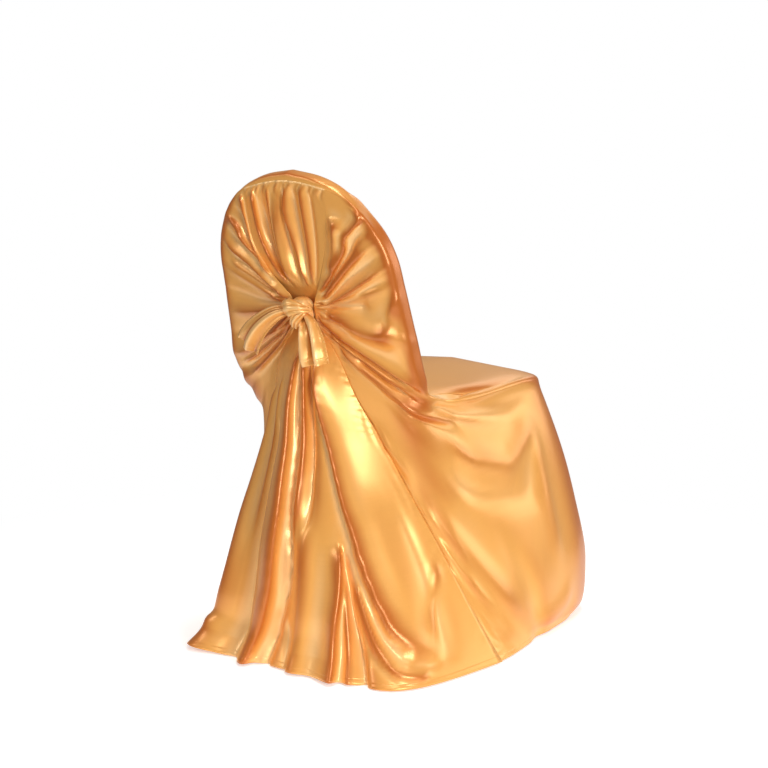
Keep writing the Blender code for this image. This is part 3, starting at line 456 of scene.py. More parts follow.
# On the back panel across is -100 at the left seam and 100 at the right seam.
FOLDS_PANEL = (
    (8, 6, 12, 10, 35, (-82, 0, -78, 1.2, -66, 2, -42, 2.8)),
    (12, 7, -12, -10, 0, (-60, 0.1, -58, 1, -50, 1.9, -30, 2.7)),
    (6, 4, 6, 4, 20, (-42, 0, -42, 0.8, -36, 1.8, -20, 2.6)),
    (20, 10, 14, 10, -20, (-16, 0, -20, 1, -18, 2, -10, 2.8)),
    (6, 4, -9, -7, 0, (-3, 0.1, -3, 0.9, 6, 1.8, 20, 2.7)),
    (6, 5, 10, 9, -35, (6, 0, 6, 0.6, 17, 1.2, 36, 1.9, 50, 2.7)),
    (7, 5, -9, -6, 0, (20, 0.1, 26, 0.9, 42, 1.7, 60, 2.6)),
    (10, 6, 9, 6, 0, (44, 0, 50, 0.9, 64, 1.8, 74, 2.6)),
    (5, 4, -7, -5, 0, (60, 0.1, 65, 0.9, 76, 1.8, 82, 2.6)),
    (10, 28, 14, 32, 45, (-15, 6.5, -17, 8, -13, 9.4, -10, 10.6, -10, 11.6, -15, 12.6, -17, 13)),
    (3, 8, -8, -22, 0, (-2, 7, 3, 8, 0, 9.2, 1, 10.6, 3, 11.4, -4, 12.4, -6, 13)),
    (6, 10, 12, 10, 20, (5, 6.8, 10, 8, 9, 9.2, 6, 10.4, 5, 11.2)),
    (5, 10, -14, -16, 0, (15, 6.8, 19, 8, 18, 9, 16, 10, 12, 11)),
    (14, 24, 8, 22, 0, (15, 10.4, 14, 11.8, 10, 13)),
    (6, 8, -6, -10, 0, (3, 12.2, 4, 12.6, 5, 13)),
    (10, 15, 12, 28, -45,
     (36, 6.9, 40, 8.4, 44, 9.5, 49, 10.5, 54, 11.3, 61, 11.9, 68, 12.3, 78, 12.5, 92, 12.62)),
    (10, 22, 12, 34, 45, (38, 10.9, 35, 11.6, 30, 12.4, 28, 13)),
    (5, 12, -12, -26, 0, (40, 11, 43, 11.8, 45, 12.4, 47, 13)),
    (4, 6, 8, 12, 30, (40, 11.4, 40, 12, 39, 12.6, 39, 13)),
    (30, 44, 4, 14, 0, (58, 9.6, 64, 10.8, 72, 12, 74, 12.5)),
    (12, 18, -4, -6, 0, (84, 10, 86, 11.4, 88, 12.6)),
    (6, 8, 12, 14, -30, (46, 11.5, 53, 12.1, 58, 12.5, 67, 12.76, 80, 12.88)),
    (4, 6, -10, -10, 0, (54, 11.8, 62, 12.3, 70, 12.6, 84, 12.74)),
    (10, 12, 8, 6, 20, (95, 11.35, 88, 11.7, 84, 12.1, 83, 12.48)),
    (10, 30, 7, 26, 0, (-74, 7.6, -58, 10.4, -44, 11.6, -42, 12.5)),
    (20, 34, 2, 46, 0, (-44, 12.4, -44, 12.7, -45, 13)),
    (7, 10, 6, 6, 0, (-50, 7.4, -38, 9.2, -32, 10.6, -30, 11.4)),
    (6, 16, -8, -26, 0, (-36, 8.4, -28, 10.9, -25, 12, -25, 13)),
    (12, 24, -5, -14, 0, (-82, 9, -76, 11.6, -72, 13)),
    (7, 8, 12, 12, 35, (-99, 12.5, -90, 12.62, -76, 12.7, -58, 12.74)),
    (4, 6, -10, -8, 0, (-97, 12.7, -88, 12.8, -74, 12.88, -60, 12.9)),
)
FOLD_STEPS = 70
# How far a crest lies over its steep flank, against its height and lean.
ROLL = 1.4
# Fine waves: how many to a unit along the gathered edge, phase, and share of the height.
KNOT_WAVES = ((1.9, 0.4, 0.45), (3.1, 2.1, 0.35), (4.7, 4.4, 0.25))
HEADING_WAVES = ((3.3, 0.8, 0.45), (6.1, 3.0, 0.35), (9.7, 5.1, 0.2))
PUCKER_WAVES = ((61.0, 0.5, 0.4), (88.0, 2.6, 0.35), (143.0, 4.0, 0.25))
EDGE_WAVES = ((150.0, 0.3, 0.6), (235.0, 2.0, 0.4))
HEM_WAVES = ((140.0, 1.1, 0.6), (90.0, 0.2, 0.4))
# Height and reach of the ruffle under the heading, the least height of the cloth over the floor, and
# the height below which a fold spreads on it.
RUFFLE_HEIGHT = 0.0026
RUFFLE_REACH = 0.006
FLOOR_GAP = 0.0012
FLOOR_ZONE = 0.07


def waves(place, table):
    """Sum of cosines of the place along an edge, with the table's counts, phases and shares."""
    total = np.zeros_like(place)
    for count, phase, share in table:
        total += share * np.cos(2 * np.pi * count * place + phase)
    return total


def held(points, sides, top):
    """How free each point of a grid is: 0 on its seams and heading, 1 from a fold's width away."""
    free = ease(norm(points - points[:1]) / top)
    for column in sides:
        free = free * ease(norm(points - points[:, column][:, None]) / 0.009)
    return free


def fold_lift(points, normals, columns, rows, folds):
    """Lift and sideways shift of every fold. Across its path a wide fold is a bell, and a narrow one
    falls away from a small round crest by a power of e."""
    lift = np.zeros(points.shape[:2])
    shift = np.zeros(points.shape)
    t = np.linspace(0.0, 1.0, FOLD_STEPS)
    for *sizes, lean, path in folds:
        start_width, end_width, start_height, end_height = np.array(sizes) / 1000
        lean = lean / 100
        path = np.reshape(path, (-1, 2)) / [100, 1]
        leg = run_of(path * [3.0, 1.0])
        trail = hermite(leg / leg[-1], path, t)
        i = np.interp(trail[:, 0], columns, np.arange(len(columns)))
        j = np.interp(trail[:, 1], rows, np.arange(len(rows)))
        line = sampled(points, j, i)
        beside = np.cross(unit(np.gradient(line, axis=0)), sampled(normals, j, i))
        near = norm(points[:, :, None] - line).argmin(axis=2)
        apart = points - line[near]
        signed = (apart * beside[near]).sum(axis=2)
        away = norm(apart)
        at = t[near]
        width = start_width + (end_width - start_width) * at
        crisp = ease((0.018 - width) / 0.008)
        width = width * np.where(signed > 0, 1 + lean, 1 - lean)
        ratio = away / width
        bell = (1 - crisp) * np.exp(-(ratio**2)) + crisp * np.exp(1 - np.sqrt(1 + (2.0 * ratio) ** 2))
        end_across, end_row = path[-1]
        fade = 0.34 if 0.4 < end_across < 0.5 and end_row < 9 else 0.25
        to_hem = end_row >= rows[-1] - 0.5 and end_across < 0.9
        last = 1.0 if to_hem else ease((1 - at) / fade)
        first = ease(at / (0.12 if start_width < 0.012 else 0.35))
        height = (start_height + (end_height - start_height) * at) * first * last * bell
        lift += height
        shift += beside[near] * (-ROLL * lean * height)[:, :, None]
    return smoothed(lift, 3), np.stack([smoothed(shift[:, :, k], 5) for k in range(3)], axis=2)


def draped(points, normals, lift, shift, free, clear):
    """The form with its folds added. Above the row where clear ends, valleys stay shallow, because the
    cloth lies close there. Near the floor a fold spreads and hardly rises."""
    lift = np.where(clear, np.maximum(lift, 0.75 * lift), lift) * free
    out = points + normals * lift[:, :, None] + shift * free[:, :, None]
    level = points[:, :, 2]
    raised = (out[:, :, 2] - level) * (0.3 + 0.7 * ease(level / FLOOR_ZONE))
    out[:, :, 2] = np.maximum(level + raised, FLOOR_GAP)
    return out


def seam_wander(points, column, side, height):
    """The sewn line's own small waves below the knot, the same for both cloths that meet there."""
    level = points[:, column, 2]
    away = norm(points - points[:, column][:, None])
    size = 1.4 * height * waves(level * 0.9, PUCKER_WAVES) * ease((0.57 - level) / 0.05)
    size = size * (0.6 + 0.4 * np.sin(2 * np.pi * 6.5 * level + 1.0))
    out = unit(np.array([side * 0.6, -0.8, 0.1]))
    return (size[:, None] * np.exp(-((away / 0.010) ** 2)))[:, :, None] * out


def seam_puckers(points, column, row_limit, rows, height):
    """Small puckers beside a seam: waves along it that rise and fall within a few millimetres."""
    line = points[:, column]
    place = run_of(line)[:, None]
    away = norm(points - line[:, None])
    patch = 0.45 + 0.55 * np.abs(np.sin(2 * np.pi * 2.3 * place + 0.7))
    reach = 0.006 + 0.003 * np.sin(2 * np.pi * 7.0 * place)
    slant = place + 0.35 * away
    body = waves(slant, PUCKER_WAVES) * (away / reach) * np.exp(1 - away / reach)
    return height * patch * body * ease((rows[:, None] - row_limit) / 0.6)


def knot_gathers(points, rows, height, reach):
    """Gathers that run out of the knot: waves along the seam that fade with the distance from it."""
    away = norm(points - KNOT_AT)
    place = rows[:, None] + 0.12 * np.sin(away * 60.0)
    fade = np.exp(-((away / reach) ** 2)) * ease((away - 0.018) / 0.03)
    return height * waves(place, KNOT_WAVES) * fade


def folded(smooth, flip, columns, rows, folds, settings, sides, low, gathers):
    """A smooth grid with its folds and gathers. Sides are its seams as column and side, and low gives
    the free edge's width, the row where valleys get their full depth and the row where puckers start."""
    width, deep_row, pucker_row = low
    normals = grid_normals(smooth, flip)
    lift, shift = fold_lift(smooth, normals, columns, rows, folds)
    lift = lift * settings.fold_depth + gathers
    for column, _ in sides:
        lift += seam_puckers(smooth, column, pucker_row, rows, settings.pucker_depth)
    free = held(smooth, [column for column, _ in sides], width)
    out = draped(smooth, normals, lift, shift * settings.fold_depth, free, rows[:, None] < deep_row)
    for column, side in sides:
        out = out + seam_wander(smooth, column, side, settings.pucker_depth)
    return out


def main_cloth(settings):
    """The whole main cloth as a grid of points, right seam first and left seam last, and how many of its
    columns fan out at the heading's corners."""
    fan = 62
    columns = spread(((0.0, 0.46, fan), (0.46, 1.0, 40)))
    rows = spread(((0.0, 2.0, 18), (2.0, 12.0, 124), (12.0, 18.6, 50), (18.6, 19.0, 6)))
    halves = []
    for side, folds in ((1, FOLDS_RIGHT), (-1, FOLDS_LEFT)):
        smooth = main_form(side, columns, rows)
        gathers = knot_gathers(smooth, rows, settings.gather_depth, 0.085) * (columns < 0.45)
        low = (0.012, 11.5, 11.0)
        halves.append(folded(smooth, -side, columns, rows, folds, settings, [(0, side)], low, gathers))
    right, left = halves
    middle = (right[:, -1:] + left[:, -1:]) / 2
    return np.concatenate([right[:, :-1], middle, left[:, -2::-1]], axis=1), fan


def back_panel(settings):
    """The back panel as a grid of points, from the left seam to the right seam."""
    columns = np.linspace(-1.0, 1.0, 205)
    rows = spread(((0.0, 3.0, 62), (3.0, 6.0, 16), (6.0, 12.7, 96), (12.7, 13.0, 8)))
    smooth = panel_form(columns, rows)
    below = norm(smooth - smooth[:1])
    ruffle = waves(columns[None] + 0.12 * np.sin(90 * below), HEADING_WAVES)
    ruffle = RUFFLE_HEIGHT * ruffle * (below / RUFFLE_REACH) * np.exp(1 - below / RUFFLE_REACH)
    sides = [(0, -1), (-1, 1)]
    return folded(smooth, -1, columns, rows, FOLDS_PANEL, settings, sides, (0.006, 6.0, 6.5), ruffle)


# Knot and tails


def knot_lump():
    """The knot's body: a ball whose radius rises and falls along slanting wraps."""
    polar = np.linspace(0.0, np.pi, 40)[:, None]
    turn = np.linspace(0.0, 2 * np.pi, 73)[None, :]
    wrap = np.abs(np.cos(2 * turn + 1.9 * np.cos(polar) + 0.6)) - 0.6
    full = 0.97 + 0.16 * wrap * np.sin(polar)
    side = np.maximum(np.sin(polar), 0.0) ** 0.7 * full
    height = np.cos(polar) * np.ones_like(turn)
    return KNOT_AT + KNOT_SIZE * np.stack([side * np.sin(turn), -side * np.cos(turn), height], axis=2)


# Bands of cloth: points of the middle line from the knot's middle, the width there, the turn of the
# band about its line in degrees, and how deep it is cupped. Lengths are in millimetres.
WRAP_OVER = (
    # along, x, y, z, width, turn, cup
    (0, -23.5, 2, -10, 26, 55, 3),
    (0.25, -22.5, -15, 2, 32, 32, 6),
    (0.5, -9, -26.5, 9, 31, 8, 7),
    (0.75, 10, -25, 10, 21, -10, 5),
    (1, 26, -6, 6, 10, -50, 2),
)
WRAP_UNDER = (
    (0, 23, -6, 10, 10, -40, 2),
    (0.35, 16.5, -19.5, 3, 15, -20, 4),
    (0.7, 4, -25.5, -10, 19, 0, 5),
    (1, -5, -19, -24, 18, 8, 3),
)
TAIL_LEFT = (
    (0, -16, -10, 4, 14, 25, 4),
    (0.2, -44, -16, -4, 30, 15, 9),
    (0.5, -81, -15, -27, 44, 8, 11),
    (0.8, -110, -8, -54, 54, 0, 10),
    (1, -126, 0, -71, 54, -8, 6),
)
TAIL_RIGHT = (
    (0, 12, -10, -6, 20, 0, 4),
    (0.2, 27, -20, -21, 44, 0, 9),
    (0.5, 40, -26, -46, 62, 4, 14),
    (0.8, 47, -28, -70, 68, 6, 16),
    (1, 50, -26, -86, 68, 6, 13),
)
BAND_UNITS = (1, 1000, 1000, 1000, 1000, 1, 1000)
# Lengthwise folds of a band: where across it (-1 to 1), half width, height at its start and end in
# millimetres.
TAIL_LEFT_FOLDS = (
    (-0.4, 0.26, -4, -8),
    (0.15, 0.28, 3, 6),
    (0.66, 0.18, -2, -6),
)
TAIL_RIGHT_FOLDS = (
    (0.05, 0.26, -6, -20),
    (0.52, 0.2, 3, 10),
    (-0.5, 0.22, 2, 7),
)
WRAP_FOLDS = (
    (-0.45, 0.2, -2.2, -1.4),
    (0.35, 0.22, -2, -1.6),
)
FOLD_UNITS = (1, 1, 1000, 1000)
# Heights of a tail's gathers and of its ruffle.
TAIL_GATHER = 0.0012
TAIL_RUFFLE = 0.0013


def band(table, folds, columns, rows, tail=False):
    """A band of cloth along a smooth line: cupped by a parabola, with lengthwise folds. A tail faces
    straight back, and has gathers that fade from its start and a fine ruffle on its edges and hem."""
    table = np.array(table) / BAND_UNITS
    across = np.linspace(-1.0, 1.0, columns)[None, :, None]
    at = np.linspace(0.0, 1.0, rows)
    line = KNOT_AT + hermite(table[:, 0], table[:, 1:4], at)
    width, turn, cup = hermite(table[:, 0], table[:, 4:], at).T[:, :, None]
    half_width = width[:, None] / 2
    ahead = unit(np.gradient(line, axis=0))
    back = [0.0, -1.0, 0.0] if tail else unit(line - KNOT_AT + [0.0, -0.012, 0.0])
    out = unit(back - ahead * (ahead * back).sum(axis=1, keepdims=True))
    beside = np.cross(out, ahead)
    turn = np.radians(turn)
    flat = beside * np.cos(turn) + out * np.sin(turn)
    lift = out * np.cos(turn) - beside * np.sin(turn)
    t = at[:, None, None]
    rise = (1 - across**2) * cup[:, None]
    for place, half, start, end in np.array(folds) / FOLD_UNITS:
        height = (start + (end - start) * t) * ease(t / 0.1 + 0.3)
        rise = rise + height * np.exp(-(((across - place) / half) ** 2))
    if tail:
        gathers = np.cos(5.2 * np.pi * across + 1.0 + 1.5 * t) * ease(t / 0.15) * (1.15 - t)
        at_edge = np.exp(-(1 - np.abs(across)) / 0.10)
        at_hem = np.exp(-(1 - t) / 0.06)
        fine = waves(run_of(line)[:, None, None] + 0.006 * across, EDGE_WAVES) * at_edge
        fine = fine + waves(across * half_width, HEM_WAVES) * at_hem
        rise = rise + TAIL_GATHER * gathers + TAIL_RUFFLE * fine * np.minimum(at_edge + at_hem, 1.0)
    return line[:, None] + flat[:, None] * across * half_width + lift[:, None] * rise


# Meshes


def bulges(points, normals, steps):
    """How far each point of a grid stands above the middle of its neighbours, steps away along rows and
    columns, over their distance: above 0 on a crest, below 0 in a valley, and 0 near the border."""
    total = np.zeros(points.shape[:2])
    for axis in (0, 1):
        line = np.moveaxis(points, axis, 0)
        out = np.moveaxis(normals, axis, 0)
        middle = (line[2 * steps :] + line[: -2 * steps]) / 2
        reach = norm(line[2 * steps :] - line[: -2 * steps])
        rise = ((line[steps:-steps] - middle) * out[steps:-steps]).sum(axis=2) / np.maximum(reach, 1e-4)
        part = np.zeros(line.shape[:2])
        part[steps:-steps] = np.clip(rise, -0.5, 0.5)
        total += np.moveaxis(part, 0, axis)
    return smoothed(total, 1)


def relief(points, normals):
    """Masks for painted light of a grid at three scales, each from 0 to 1: a painted highlight on its
    crests and painted shade in its valleys.
    """
    scales = [bulges(points, normals, steps) for steps in (2, 4, 8)]
    crest = np.clip(np.max(scales, axis=0) * 3.8, 0.0, 1.0) ** 1.4
    painted_shade = np.clip(-np.min(scales, axis=0) * 3.4, 0.0, 1.0)
    return crest, painted_shade


def cloth_lengths(points):
    """Lengths in metres along the rows and down the columns of a grid, for its weave."""
    across = norm(np.diff(points, axis=1))
    down = norm(np.diff(points, axis=0))
    u = np.concatenate([np.zeros((len(points), 1)), np.cumsum(across, axis=1)], axis=1)
    v = np.concatenate([np.zeros((1, points.shape[1])), np.cumsum(down, axis=0)], axis=0)
    return u - u[:, u.shape[1] // 2][:, None], v


def placed(name, data):
    """A new object of the scene that holds the data."""
    item = bpy.data.objects.new(name, data)
    bpy.context.scene.collection.objects.link(item)
    return item


def cloth_piece(name, points, material, thick, flip=1, fan=0, hem=True, highlight_reach=0.0):
    """Puts a grid of points into a mesh with its lengths as a UV map, and as attributes the masks of its
    painted highlight on crests and painted shade in valleys, and the distance to its hem. The first and
    last fan columns of the first row meet in its corners, and highlight_reach is the reach of a painted
    highlight, a pale scalloped line, along that row."""
    rows, columns = points.shape[:2]
    index = np.arange(rows * columns).reshape(rows, columns)
    if fan:
        index[0, :fan] = index[0, 0]
        index[0, -fan:] = index[0, -1]
    corners = [index[:-1, :-1], index[:-1, 1:], index[1:, 1:], index[1:, :-1]]
    quads = np.stack(corners, axis=2).reshape(-1, 4)
    whole = (quads[:, 0] != quads[:, 1]) | (quads[:, 2] == quads[:, 3])
    faces = quads[whole][:, ::flip].tolist()
    faces += quads[~whole][:, [0, 2, 3]][:, ::flip].tolist()
    ends = np.cumsum([len(face) for face in faces])[:-1]
    used, numbers = np.unique(np.concatenate(faces), return_inverse=True)
    faces = [face.tolist() for face in np.split(numbers, ends)]
    mesh = bpy.data.meshes.new(name)
    mesh.from_pydata((points - DATUM).reshape(-1, 3)[used].tolist(), [], faces)
    u, v = cloth_lengths(points)
    lengths = np.stack([u, v], axis=2).reshape(-1, 2)[used]
    mesh.uv_layers.new(name="lengths").data.foreach_set("uv", lengths[numbers].ravel())
    # Masks of painted light: a painted highlight on the crests and painted shade in the valleys.
    crest, painted_shade = relief(points, grid_normals(points, -flip))
    # A painted highlight, a pale scalloped line, along the first row, with no painted shade under it.
    if highlight_reach:
        reach = highlight_reach * (1 + 0.5 * np.sin(u * 300 + 2 * np.sin(u * 90)))
        heading_highlight = np.exp(-((v / reach) ** 2))
        crest = np.maximum(crest, 1.6 * heading_highlight)
        painted_shade = painted_shade * (1 - heading_highlight)
    edge = v[-1:] - v if hem else 0 * v + 1.0
    for title, values in (("crest", crest), ("painted_shade", painted_shade), ("above_hem", edge)):
        mark = mesh.attributes.new(title, "FLOAT", "POINT")
        mark.data.foreach_set("value", values.ravel()[used].astype(np.float32))
    mesh.shade_smooth()
    mesh.materials.append(material)
    item = placed(name, mesh)
    wall = item.modifiers.new("thickness", "SOLIDIFY")
    wall.thickness = thick
    wall.offset = 0.0
    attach(item, "root")
    return item


# Materials


WHITE = (1.0, 1.0, 1.0, 1.0)
# Scales of the weave's threads and of its streaks, along and across, to a metre.
THREADS = (90.0, 1500.0, 1.0)
STREAKS = (14.0, 260.0, 1.0)
# The sewn line: its height above the hem, its half width and its depth, and the threads' relief.
HEM_LINE = 0.011
HEM_LINE_HALF = 0.0012
HEM_LINE_DEPTH = 0.0005
THREAD_RELIEF = 0.00005


class Nodes:
    """Adds and links the nodes of one tree."""

    def __init__(self, tree):
        self.tree = tree
        tree.nodes.clear()

    def put(self, value, socket):
        """Links an output to a socket, or writes a value into it."""
        if isinstance(value, bpy.types.NodeSocket):
            self.tree.links.new(value, socket)
        else:
            socket.default_value = value

    def add(self, kind, inputs=None, **values):
        """A new node with its properties set and its inputs put."""
        node = self.tree.nodes.new(kind)
        for key, value in values.items():
            setattr(node, key, value)
        for key, value in (inputs or {}).items():
            self.put(value, node.inputs[key])
        return node

    def maths(self, operation, a, b=None, clamp=False):
        inputs = {0: a} if b is None else {0: a, 1: b}
        return self.add("ShaderNodeMath", inputs, operation=operation, use_clamp=clamp).outputs[0]

    def mix(self, factor, a, b):
        node = self.add("ShaderNodeMix", {"Factor": factor}, data_type="RGBA")
        for socket in node.inputs:
            if socket.type == "RGBA":
                self.put(a if socket.name == "A" else b, socket)
        return [s for s in node.outputs if s.type == "RGBA"][0]

    def noise(self, place, scale, detail, stretch=None):
        """A noise at a place, which stretch multiplies first."""
        if stretch:
            place = self.add("ShaderNodeMapping", {"Scale": stretch, "Vector": place}).outputs[0]
        inputs = {"Scale": scale, "Detail": detail, "Vector": place}
        return self.add("ShaderNodeTexNoise", inputs).outputs[0]


def satin_weave_and_painted_light_group():
    """Satin's weave: long thread streaks across the cloth, slow drifts of shade, painted shade (a deeper
    colour) in the valleys, a painted highlight (a paler colour) on the crests and a sewn line above the
    hem. Gives colour, roughness and height."""
    tree = bpy.data.node_groups.new("Satin weave and painted light", "ShaderNodeTree")
    inputs = {
        "Lengths": None,
        "Painted highlight": 0.0,
        "Painted shade": 0.0,
        "Above hem": 1.0,
        "Face colour": WHITE,
        "Painted shade colour": WHITE,
        "Painted highlight colour": WHITE,
        # Strengths of the painted shade and of the painted highlight.
        "Painted shade strength": 0.95,
        "Painted highlight strength": 0.75,
        "Drift": 0.06,
        "Streaks": 0.05,
        "Roughness": 0.32,
    }
    for name, value in inputs.items():
        kind = "Vector" if value is None else "Color" if value is WHITE else "Float"
        socket = tree.interface.new_socket(name=name, in_out="INPUT", socket_type="NodeSocket" + kind)
        if value is not None:
            socket.default_value = value
    for name, kind in (("Colour", "Color"), ("Roughness", "Float"), ("Height", "Float")):
        tree.interface.new_socket(name=name, in_out="OUTPUT", socket_type="NodeSocket" + kind)
    n = Nodes(tree)
    given = n.add("NodeGroupInput").outputs
    thread = n.noise(given["Lengths"], 1.0, 2.0, THREADS)
    streak = n.noise(given["Lengths"], 1.0, 3.0, STREAKS)
    drift = n.noise(given["Lengths"], 9.0, 2.0)
    streak_shade = n.maths("MULTIPLY", n.maths("SUBTRACT", streak, 0.5), given["Streaks"])
    drift_shade = n.maths("MULTIPLY", n.maths("SUBTRACT", drift, 0.5), given["Drift"])
    shade = n.maths("ADD", n.maths("ADD", streak_shade, drift_shade), 1.0)
    # Painted shade in the valleys and a painted highlight on the crests, mixed into the face colour.
    deep = n.maths("MULTIPLY", given["Painted shade"], given["Painted shade strength"], clamp=True)
    pale = n.maths("MULTIPLY", given["Painted highlight"], given["Painted highlight strength"], clamp=True)
    face = n.mix(pale, given["Face colour"], given["Painted highlight colour"])
    colour = n.mix(deep, face, given["Painted shade colour"])
    tinted = n.add("ShaderNodeVectorMath", {0: colour, "Scale": shade}, operation="SCALE").outputs[0]
    rough = n.maths("ADD", given["Roughness"], n.maths("MULTIPLY", streak_shade, 1.5))
    line = n.maths("ABSOLUTE", n.maths("SUBTRACT", given["Above hem"], HEM_LINE))
    groove = n.maths("SUBTRACT", 1.0, n.maths("DIVIDE", line, HEM_LINE_HALF), clamp=True)
    sewn = n.maths("MULTIPLY", groove, -HEM_LINE_DEPTH)
    height = n.maths("ADD", n.maths("MULTIPLY", thread, THREAD_RELIEF), sewn)
    n.add("NodeGroupOutput", {"Colour": tinted, "Roughness": rough, "Height": height})
    return tree


def satin(name, settings):
    """One piece's satin: the weave group, made when it is first asked for, feeds a glossy shader whose
    highlights stretch across the threads."""
    material = bpy.data.materials.new(name)
    material.use_nodes = True
    n = Nodes(material.node_tree)
    given = {
        "Lengths": n.add("ShaderNodeUVMap", uv_map="lengths").outputs[0],
        "Face colour": (*settings.face_colour, 1.0),
        "Painted shade colour": (*settings.painted_shade_colour, 1.0),
        "Painted highlight colour": (*settings.painted_highlight_colour, 1.0),
        "Roughness": settings.roughness,
    }
    # The masks of painted highlight and painted shade, from the mesh's attributes.
    for socket, mark in (("Painted highlight", "crest"), ("Painted shade", "painted_shade"), ("Above hem", "above_hem")):
        given[socket] = n.add("ShaderNodeAttribute", attribute_name=mark).outputs["Fac"]
    group = bpy.data.node_groups.get("Satin weave and painted light") or satin_weave_and_painted_light_group()
    weave = n.add("ShaderNodeGroup", given, node_tree=group).outputs
    bump = n.add("ShaderNodeBump", {"Strength": 0.6, "Distance": 1.0, "Height": weave["Height"]})
    tangent = n.add("ShaderNodeTangent", direction_type="UV_MAP", uv_map="lengths")
    shine = {
        "Base Color": weave["Colour"],
        "Roughness": weave["Roughness"],
        "Normal": bump.outputs[0],
        "Tangent": tangent.outputs[0],
        "Metallic": settings.metallic,
        "Anisotropic": settings.stretch,
        "IOR": 1.8,
        "Specular Tint": (1.0, 0.90, 0.62, 1.0),
        "Sheen Weight": 0.08,
        "Sheen Roughness": 0.4,
        "Sheen Tint": (1.0, 0.78, 0.45, 1.0),
    }
    shader = n.add("ShaderNodeBsdfPrincipled", shine)
    n.add("ShaderNodeOutputMaterial", {0: shader.outputs[0]})
    material.diffuse_color = given["Face colour"]
    return material
# Settings


def number(name, description, default, low, high, **kind):
    """A number that a user may change; kind is its unit or its subtype."""
    return FloatProperty(name=name, description=description, default=default, min=low, max=high, **kind)


def colour(name, description, default):
    """A colour that a user may change."""
    limits = {"subtype": "COLOR", "size": 3, "min": 0.0, "max": 1.0}
    return FloatVectorProperty(name=name, description=description, default=default, **limits)


class CoverSettings(PropertyGroup):
    """Sizes of the cover's drape."""

    fold_depth: number(
        "Fold depth", "Depth of the main folds, against the ones in the tables", 1.0, 0.2, 1.6
    )
    gather_depth: number(
        "Gathers", "Height of the gathers that run out of the knot", 0.0022, 0.0, 0.006, unit="LENGTH"
    )
    pucker_depth: number(
        "Seam puckers",
        "Height of the small puckers beside the long seams",
        0.0013, 0.0, 0.004, unit="LENGTH",
    )
    thickness: number("Cloth thickness", "Thickness of the satin", 0.0012, 0.0003, 0.003, unit="LENGTH")


class SatinSettings(PropertyGroup):
    """Colours and shine of the satin."""

    face_colour: colour("Face colour", "Colour of the satin where it lies flat", (0.87, 0.40, 0.088))
    # Colours of the painted shade in the valleys and of the painted highlight on the crests.
    painted_shade_colour: colour("Painted shade colour", "Colour of the painted shade between the folds", (0.53, 0.12, 0.010))
    painted_highlight_colour: colour("Painted highlight colour", "Colour of the painted highlight along the folds", (1.0, 0.61, 0.26))
    roughness: number("Roughness", "How soft the highlights are", 0.31, 0.1, 0.8, subtype="FACTOR")
    metallic: number(
        "Gold cast",
        "How far the highlights take the cloth's own colour",
        0.20, 0.0, 1.0, subtype="FACTOR",
    )
    stretch: number(
        "Stretch", "How far the highlights stretch across the threads", 0.45, 0.0, 1.0, subtype="FACTOR"
    )


class StageSettings(PropertyGroup):
    """The floor, the lights and the camera."""

    floor_colour: colour("Floor colour", "Colour of the floor and the backdrop", (0.92, 0.92, 0.92))
    floor_glow: number("Floor glow", "Light that the white floor gives off by itself", 0.45, 0.0, 2.0)
    sky: number("Sky light", "Strength of the even light from all round", 0.25, 0.0, 3.0)
    lamps: number("Lamp power", "Power of the main lamp", 62.0, 0.0, 500.0, unit="POWER")
    camera_distance: number(
        "Camera distance", "Distance of the camera from the cover", 3.5, 1.0, 10.0, unit="LENGTH"
    )


# Operators


class CHAIRCOVER_OT_main_cloth(Operator):
    """The main cloth: hood, wings, seat and skirt"""

    bl_idname = "chaircover.main_cloth"
    bl_label = "Main Cloth"

    def execute(self, context):
        scene = context.scene
        points, fan = main_cloth(scene.chair_cover)
        material = satin("Main cloth satin", scene.chair_satin)
        thick = scene.chair_cover.thickness
        cloth = cloth_piece("main_cloth", points, material, flip=-1, fan=fan, thick=thick)
        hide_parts("cover")
        return {"FINISHED"}


class CHAIRCOVER_OT_back_panel(Operator):
    """The back panel, from its gathered heading to the train on the floor"""

    bl_idname = "chaircover.back_panel"
    bl_label = "Back Panel"

    def execute(self, context):
        scene = context.scene
        points = back_panel(scene.chair_cover)
        material = satin("Back panel satin", scene.chair_satin)
        thick = scene.chair_cover.thickness
        # The panel gets a painted highlight along its heading.
        cloth = cloth_piece("panel_cloth", points, material, flip=-1, thick=thick, highlight_reach=HEADING_HIGHLIGHT_REACH)
        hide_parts("back_panel")
        return {"FINISHED"}


class CHAIRCOVER_OT_knot(Operator):
    """The knot: its body and the two wraps that cross over it"""

    bl_idname = "chaircover.knot"
    bl_label = "Knot"

    def execute(self, context):
        scene = context.scene
        material = satin("Knot satin", scene.chair_satin)
        lump = cloth_piece("knot_body", knot_lump(), material, hem=False, thick=KNOT_THICK)
        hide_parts("knot")
        for name, table in (("knot_wrap_over", WRAP_OVER), ("knot_wrap_under", WRAP_UNDER)):
            points = band(table, WRAP_FOLDS, 41, 61)
            wrap = cloth_piece(name, points, material, hem=False, thick=KNOT_THICK)
        return {"FINISHED"}


class CHAIRCOVER_OT_tails(Operator):
    """The two free ends of the tie"""

    bl_idname = "chaircover.tails"
    bl_label = "Tails"

    def execute(self, context):
        scene = context.scene
        ends = (
            ("tail_left", "tie_left", TAIL_LEFT, TAIL_LEFT_FOLDS, (0.054, 0.150)),
            ("tail_right", "tie_right", TAIL_RIGHT, TAIL_RIGHT_FOLDS, (0.070, 0.105)),
        )
        for name, node, table, folds, flat in ends:
            material = satin(name.replace("_", " ") + " satin", scene.chair_satin)
            points = band(table, folds, 71, 101, tail=True)
            cloth = cloth_piece(name, points, material, thick=scene.chair_cover.thickness)
            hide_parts(node)
        return {"FINISHED"}


